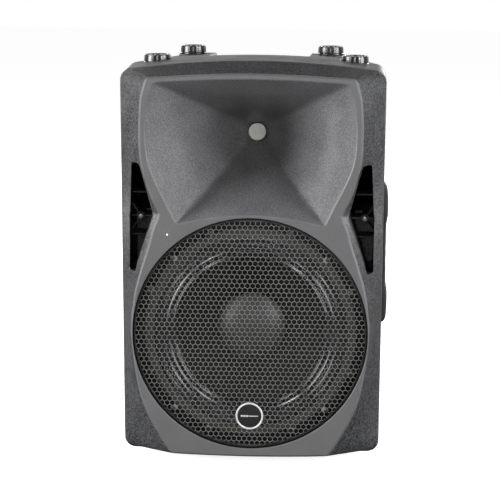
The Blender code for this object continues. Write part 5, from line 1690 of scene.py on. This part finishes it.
def make_inlet():
    """Mains inlet with three blades and its fuse drawer."""
    x, up = INLET_AT
    shape = bmesh.new()
    slab(shape, rect(x - 20, x + 20, up - 20, up + 20, 3.0), ON_PANEL, 361.0, soft=0.5)
    inlet = raw("inlet_body", shape, "black")
    neck = bmesh.new()
    slab(neck, rect(x - 14, x + 14, up - 17, up + 17, 1.0), 334.0, 360.2, soft=0.3)
    carve(inlet, neck, "UNION")
    hollow = bmesh.new()
    corners = ((x - 12, up + 10.5), (x - 7.5, up + 15), (x + 7.5, up + 15), (x + 12, up + 10.5))
    corners += ((x + 12, up - 1.0), (x - 12, up - 1.0))
    outline = [tuple(p) for p in rounded(corners, 1.2)]
    well(hollow, outline, 361.0, 341.0, 0.4, way=-1)
    well(hollow, rect(x - 10.5, x + 10.5, up - 13.2, up - 4.8, 0.8), 361.0, 336.0, 0.3, way=-1)
    carve(inlet, hollow)
    place_piece(inlet, stands_for=("mains_inlet",), even=True)
    blades = bmesh.new()
    for blade_x, blade_up in ((-7.0, 5.0), (0.0, 9.0), (7.0, 5.0)):
        outline = rect(x + blade_x - 1, x + blade_x + 1, up + blade_up - 2, up + blade_up + 2, 0.3)
        slab(blades, outline, 341.2, 355.0, soft=0.4)
    piece("inlet_blades", blades, "silver")
    drawer = bmesh.new()
    slab(drawer, rect(x - 10, x + 10, up - 12.8, up - 5.2, 0.5), 339.0, 361.5, soft=0.2)
    slab(drawer, rect(x - 11.5, x + 11.5, up - 14.0, up - 4.0, 1.2), 361.3, 363.0, soft=0.5)
    slab(drawer, rect(x - 4.0, x + 4.0, up - 13.0, up - 11.6, 0.4), 362.5, 363.4, soft=0.3)
    piece("fuse_tray", drawer, "black", "fuse_holder", ("fuse_drawer",))


# ---- pieces whose CAD shape is kept ----


KEPT = {
    "voice_coil": "former",
    "top_plate": "steel",
    "magnet": "ferrite",
    "pole_piece": "steel",
    "woofer_terminals": "red",
    "driver_body": "basket",
    "driver_cover": "black",
    "amp_board": "board",
    "toroid": "tape",
    "toroid_clamp": "steel",
    "potentiometers": "steel",
    "woofer_cable": "wire",
    "driver_cable": "wire",
}


def finish_kept_nodes():
    """Gives the inner pieces that keep their CAD shape their materials."""
    for name, look_name in KEPT.items():
        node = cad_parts[name]
        node.data.materials.clear()
        node.data.materials.append(look(look_name))
        for polygon in node.data.polygons:
            polygon.material_index = 0


# ---- floor, light and camera ----


def make_floor():
    """Pale floor. It looks brighter to the camera than it is as a source of reflected light."""
    shape = bmesh.new()
    skin(shape, [[Vector((x, y, 0)) for x, y in ((-9, -9), (9, -9), (9, 9), (-9, 9))]], caps=(True, False))
    bpy.context.view_layer.update()
    mesh = bpy.data.meshes.new("floor")
    shape.to_mesh(mesh)
    shape.free()
    made = Nodes("floor_paper")
    tone = made.blend(made.noise(3.0), (0.86, 0.86, 0.86, 1), (0.90, 0.90, 0.90, 1))
    made.join(made.shader.inputs["Base Color"], tone)
    made.shader.inputs["Roughness"].default_value = 0.9
    made.shader.inputs["Specular IOR Level"].default_value = 0.1
    made.shader.inputs["Emission Color"].default_value = (1, 1, 1, 1)
    made.shader.inputs["Emission Strength"].default_value = 0.80
    bounce = made.add("ShaderNodeBsdfDiffuse", Color=(0.22, 0.22, 0.22, 1)).outputs[0]
    seen = made.add("ShaderNodeLightPath").outputs["Is Camera Ray"]
    chosen = made.add("ShaderNodeMixShader").inputs
    made.join(chosen[0], seen)
    made.join(chosen[1], bounce)
    made.join(chosen[2], made.shader.outputs[0])
    output = made.tree.nodes["Material Output"].inputs["Surface"]
    made.join(output, made.tree.nodes["Mix Shader"].outputs[0])
    mesh.materials.append(made.material)
    floor = bpy.data.objects.new("floor", mesh)
    bpy.context.scene.collection.objects.link(floor)


def add_light(name, location, target, size, power, height=None):
    """A rectangular lamp aimed at a target."""
    light = bpy.data.lights.new(name, "AREA")
    light.shape = "RECTANGLE"
    light.size = size
    light.size_y = height or size
    light.energy = power
    holder = bpy.data.objects.new(name, light)
    holder.location = location
    aim = Vector(target) - Vector(location)
    holder.rotation_euler = aim.to_track_quat("-Z", "Y").to_euler()
    bpy.context.scene.collection.objects.link(holder)
    return holder


def make_light():
    """Soft boxes all round, two small high ones for the highlights, and a white backdrop."""
    middle = (0, 0, 0.3)
    add_light("soft_box_left", (-2.35, -1.1, 0.80), middle, 1.1, 94, 1.2)
    add_light("soft_box_right", (2.35, -1.1, 0.80), middle, 1.1, 60, 1.2)
    add_light("near_left", (-1.9, -2.3, 0.9), middle, 0.5, 10)
    add_light("near_right", (1.9, -2.3, 0.9), middle, 0.5, 24)
    add_light("front_fill", (0.0, -3.4, 0.9), middle, 0.5, 12)
    add_light("rear_left", (-1.6, 2.6, 1.3), middle, 1.0, 34)
    add_light("rear_right", (1.6, 2.6, 1.3), middle, 1.0, 46)
    for side, label in ((-1, "left"), (1, "right")):
        shine = add_light("shine_" + label, (side * 1.3, -1.15, 1.7), middle, 0.36, 28)
        shine.visible_diffuse = False
    world = bpy.data.worlds.new("studio")
    bpy.context.scene.world = world
    world.use_nodes = True
    tree = world.node_tree
    tree.nodes.clear()

    def add(kind, *values, **settings):
        node = tree.nodes.new(kind)
        for key, value in settings.items():
            setattr(node, key, value)
        for i, value in enumerate(values):
            if isinstance(value, bpy.types.NodeSocket):
                tree.links.new(value, node.inputs[i])
            elif value is not None:
                node.inputs[i].default_value = value
        return node.outputs

    way = add("ShaderNodeSeparateXYZ", add("ShaderNodeTexCoord")["Generated"])
    behind = add("ShaderNodeMapRange", way["Y"], 0.0, 0.7, 0.0, 1.0, interpolation_type="SMOOTHSTEP")[0]
    low_down = add("ShaderNodeMapRange", way["Z"], 0.12, 0.45, 1.0, 0.05, interpolation_type="SMOOTHSTEP")[0]
    glow = add("ShaderNodeMath", behind, low_down, operation="MULTIPLY")[0]
    strength = add("ShaderNodeMath", glow, 1.05, 0.13, operation="MULTIPLY_ADD")[0]
    lit = add("ShaderNodeBackground", (1, 1, 1, 1), strength)[0]
    seen = add("ShaderNodeBackground", (1, 1, 1, 1), 1.0)[0]
    camera_ray = add("ShaderNodeLightPath")["Is Camera Ray"]
    add("ShaderNodeOutputWorld", add("ShaderNodeMixShader", camera_ray, lit, seen)[0])
    bpy.context.scene.view_settings.view_transform = "Standard"


def make_camera():
    """The camera looks slightly down and slightly from the right."""
    down, yaw, roll = math.radians(10.56), math.radians(3.12), math.radians(0.25)
    forward = Vector((-math.sin(yaw) * math.cos(down), math.cos(yaw) * math.cos(down), -math.sin(down)))
    right = Vector((math.cos(yaw), math.sin(yaw), 0))
    above = right.cross(forward)
    tilted_right = right * math.cos(roll) + above * math.sin(roll)
    tilted_above = above * math.cos(roll) - right * math.sin(roll)
    camera = bpy.data.cameras.new("camera")
    camera.lens = 133.2
    camera.sensor_width = 36.0
    camera.clip_end = 50.0
    holder = bpy.data.objects.new("camera", camera)
    turn_matrix = Matrix((tilted_right, tilted_above, -forward)).transposed().to_4x4()
    holder.matrix_world = Matrix.Translation((0.1339, -2.6424, 0.7647)) @ turn_matrix
    bpy.context.scene.collection.objects.link(holder)
    bpy.context.scene.camera = holder


make_camera()
make_light()
make_floor()
make_baffle()
make_horn()
make_port(-1, "left")
make_port(1, "right")
make_port_screws()
make_seal()
make_grille()
make_grille_fold()
make_front_screws()
make_badge()
make_led()
make_woofer_frame()
make_surround()
make_cone()
make_throat_screen()
make_shell()
make_top_grip()
make_side_handles()
make_feet()
make_pole_socket()
make_panel()
make_markings()
make_heatsink()
make_knobs()
make_button()
make_power_switch()
make_selector()
make_input_socket()
make_link_socket()
make_line_jacks()
make_inlet()
finish_kept_nodes()
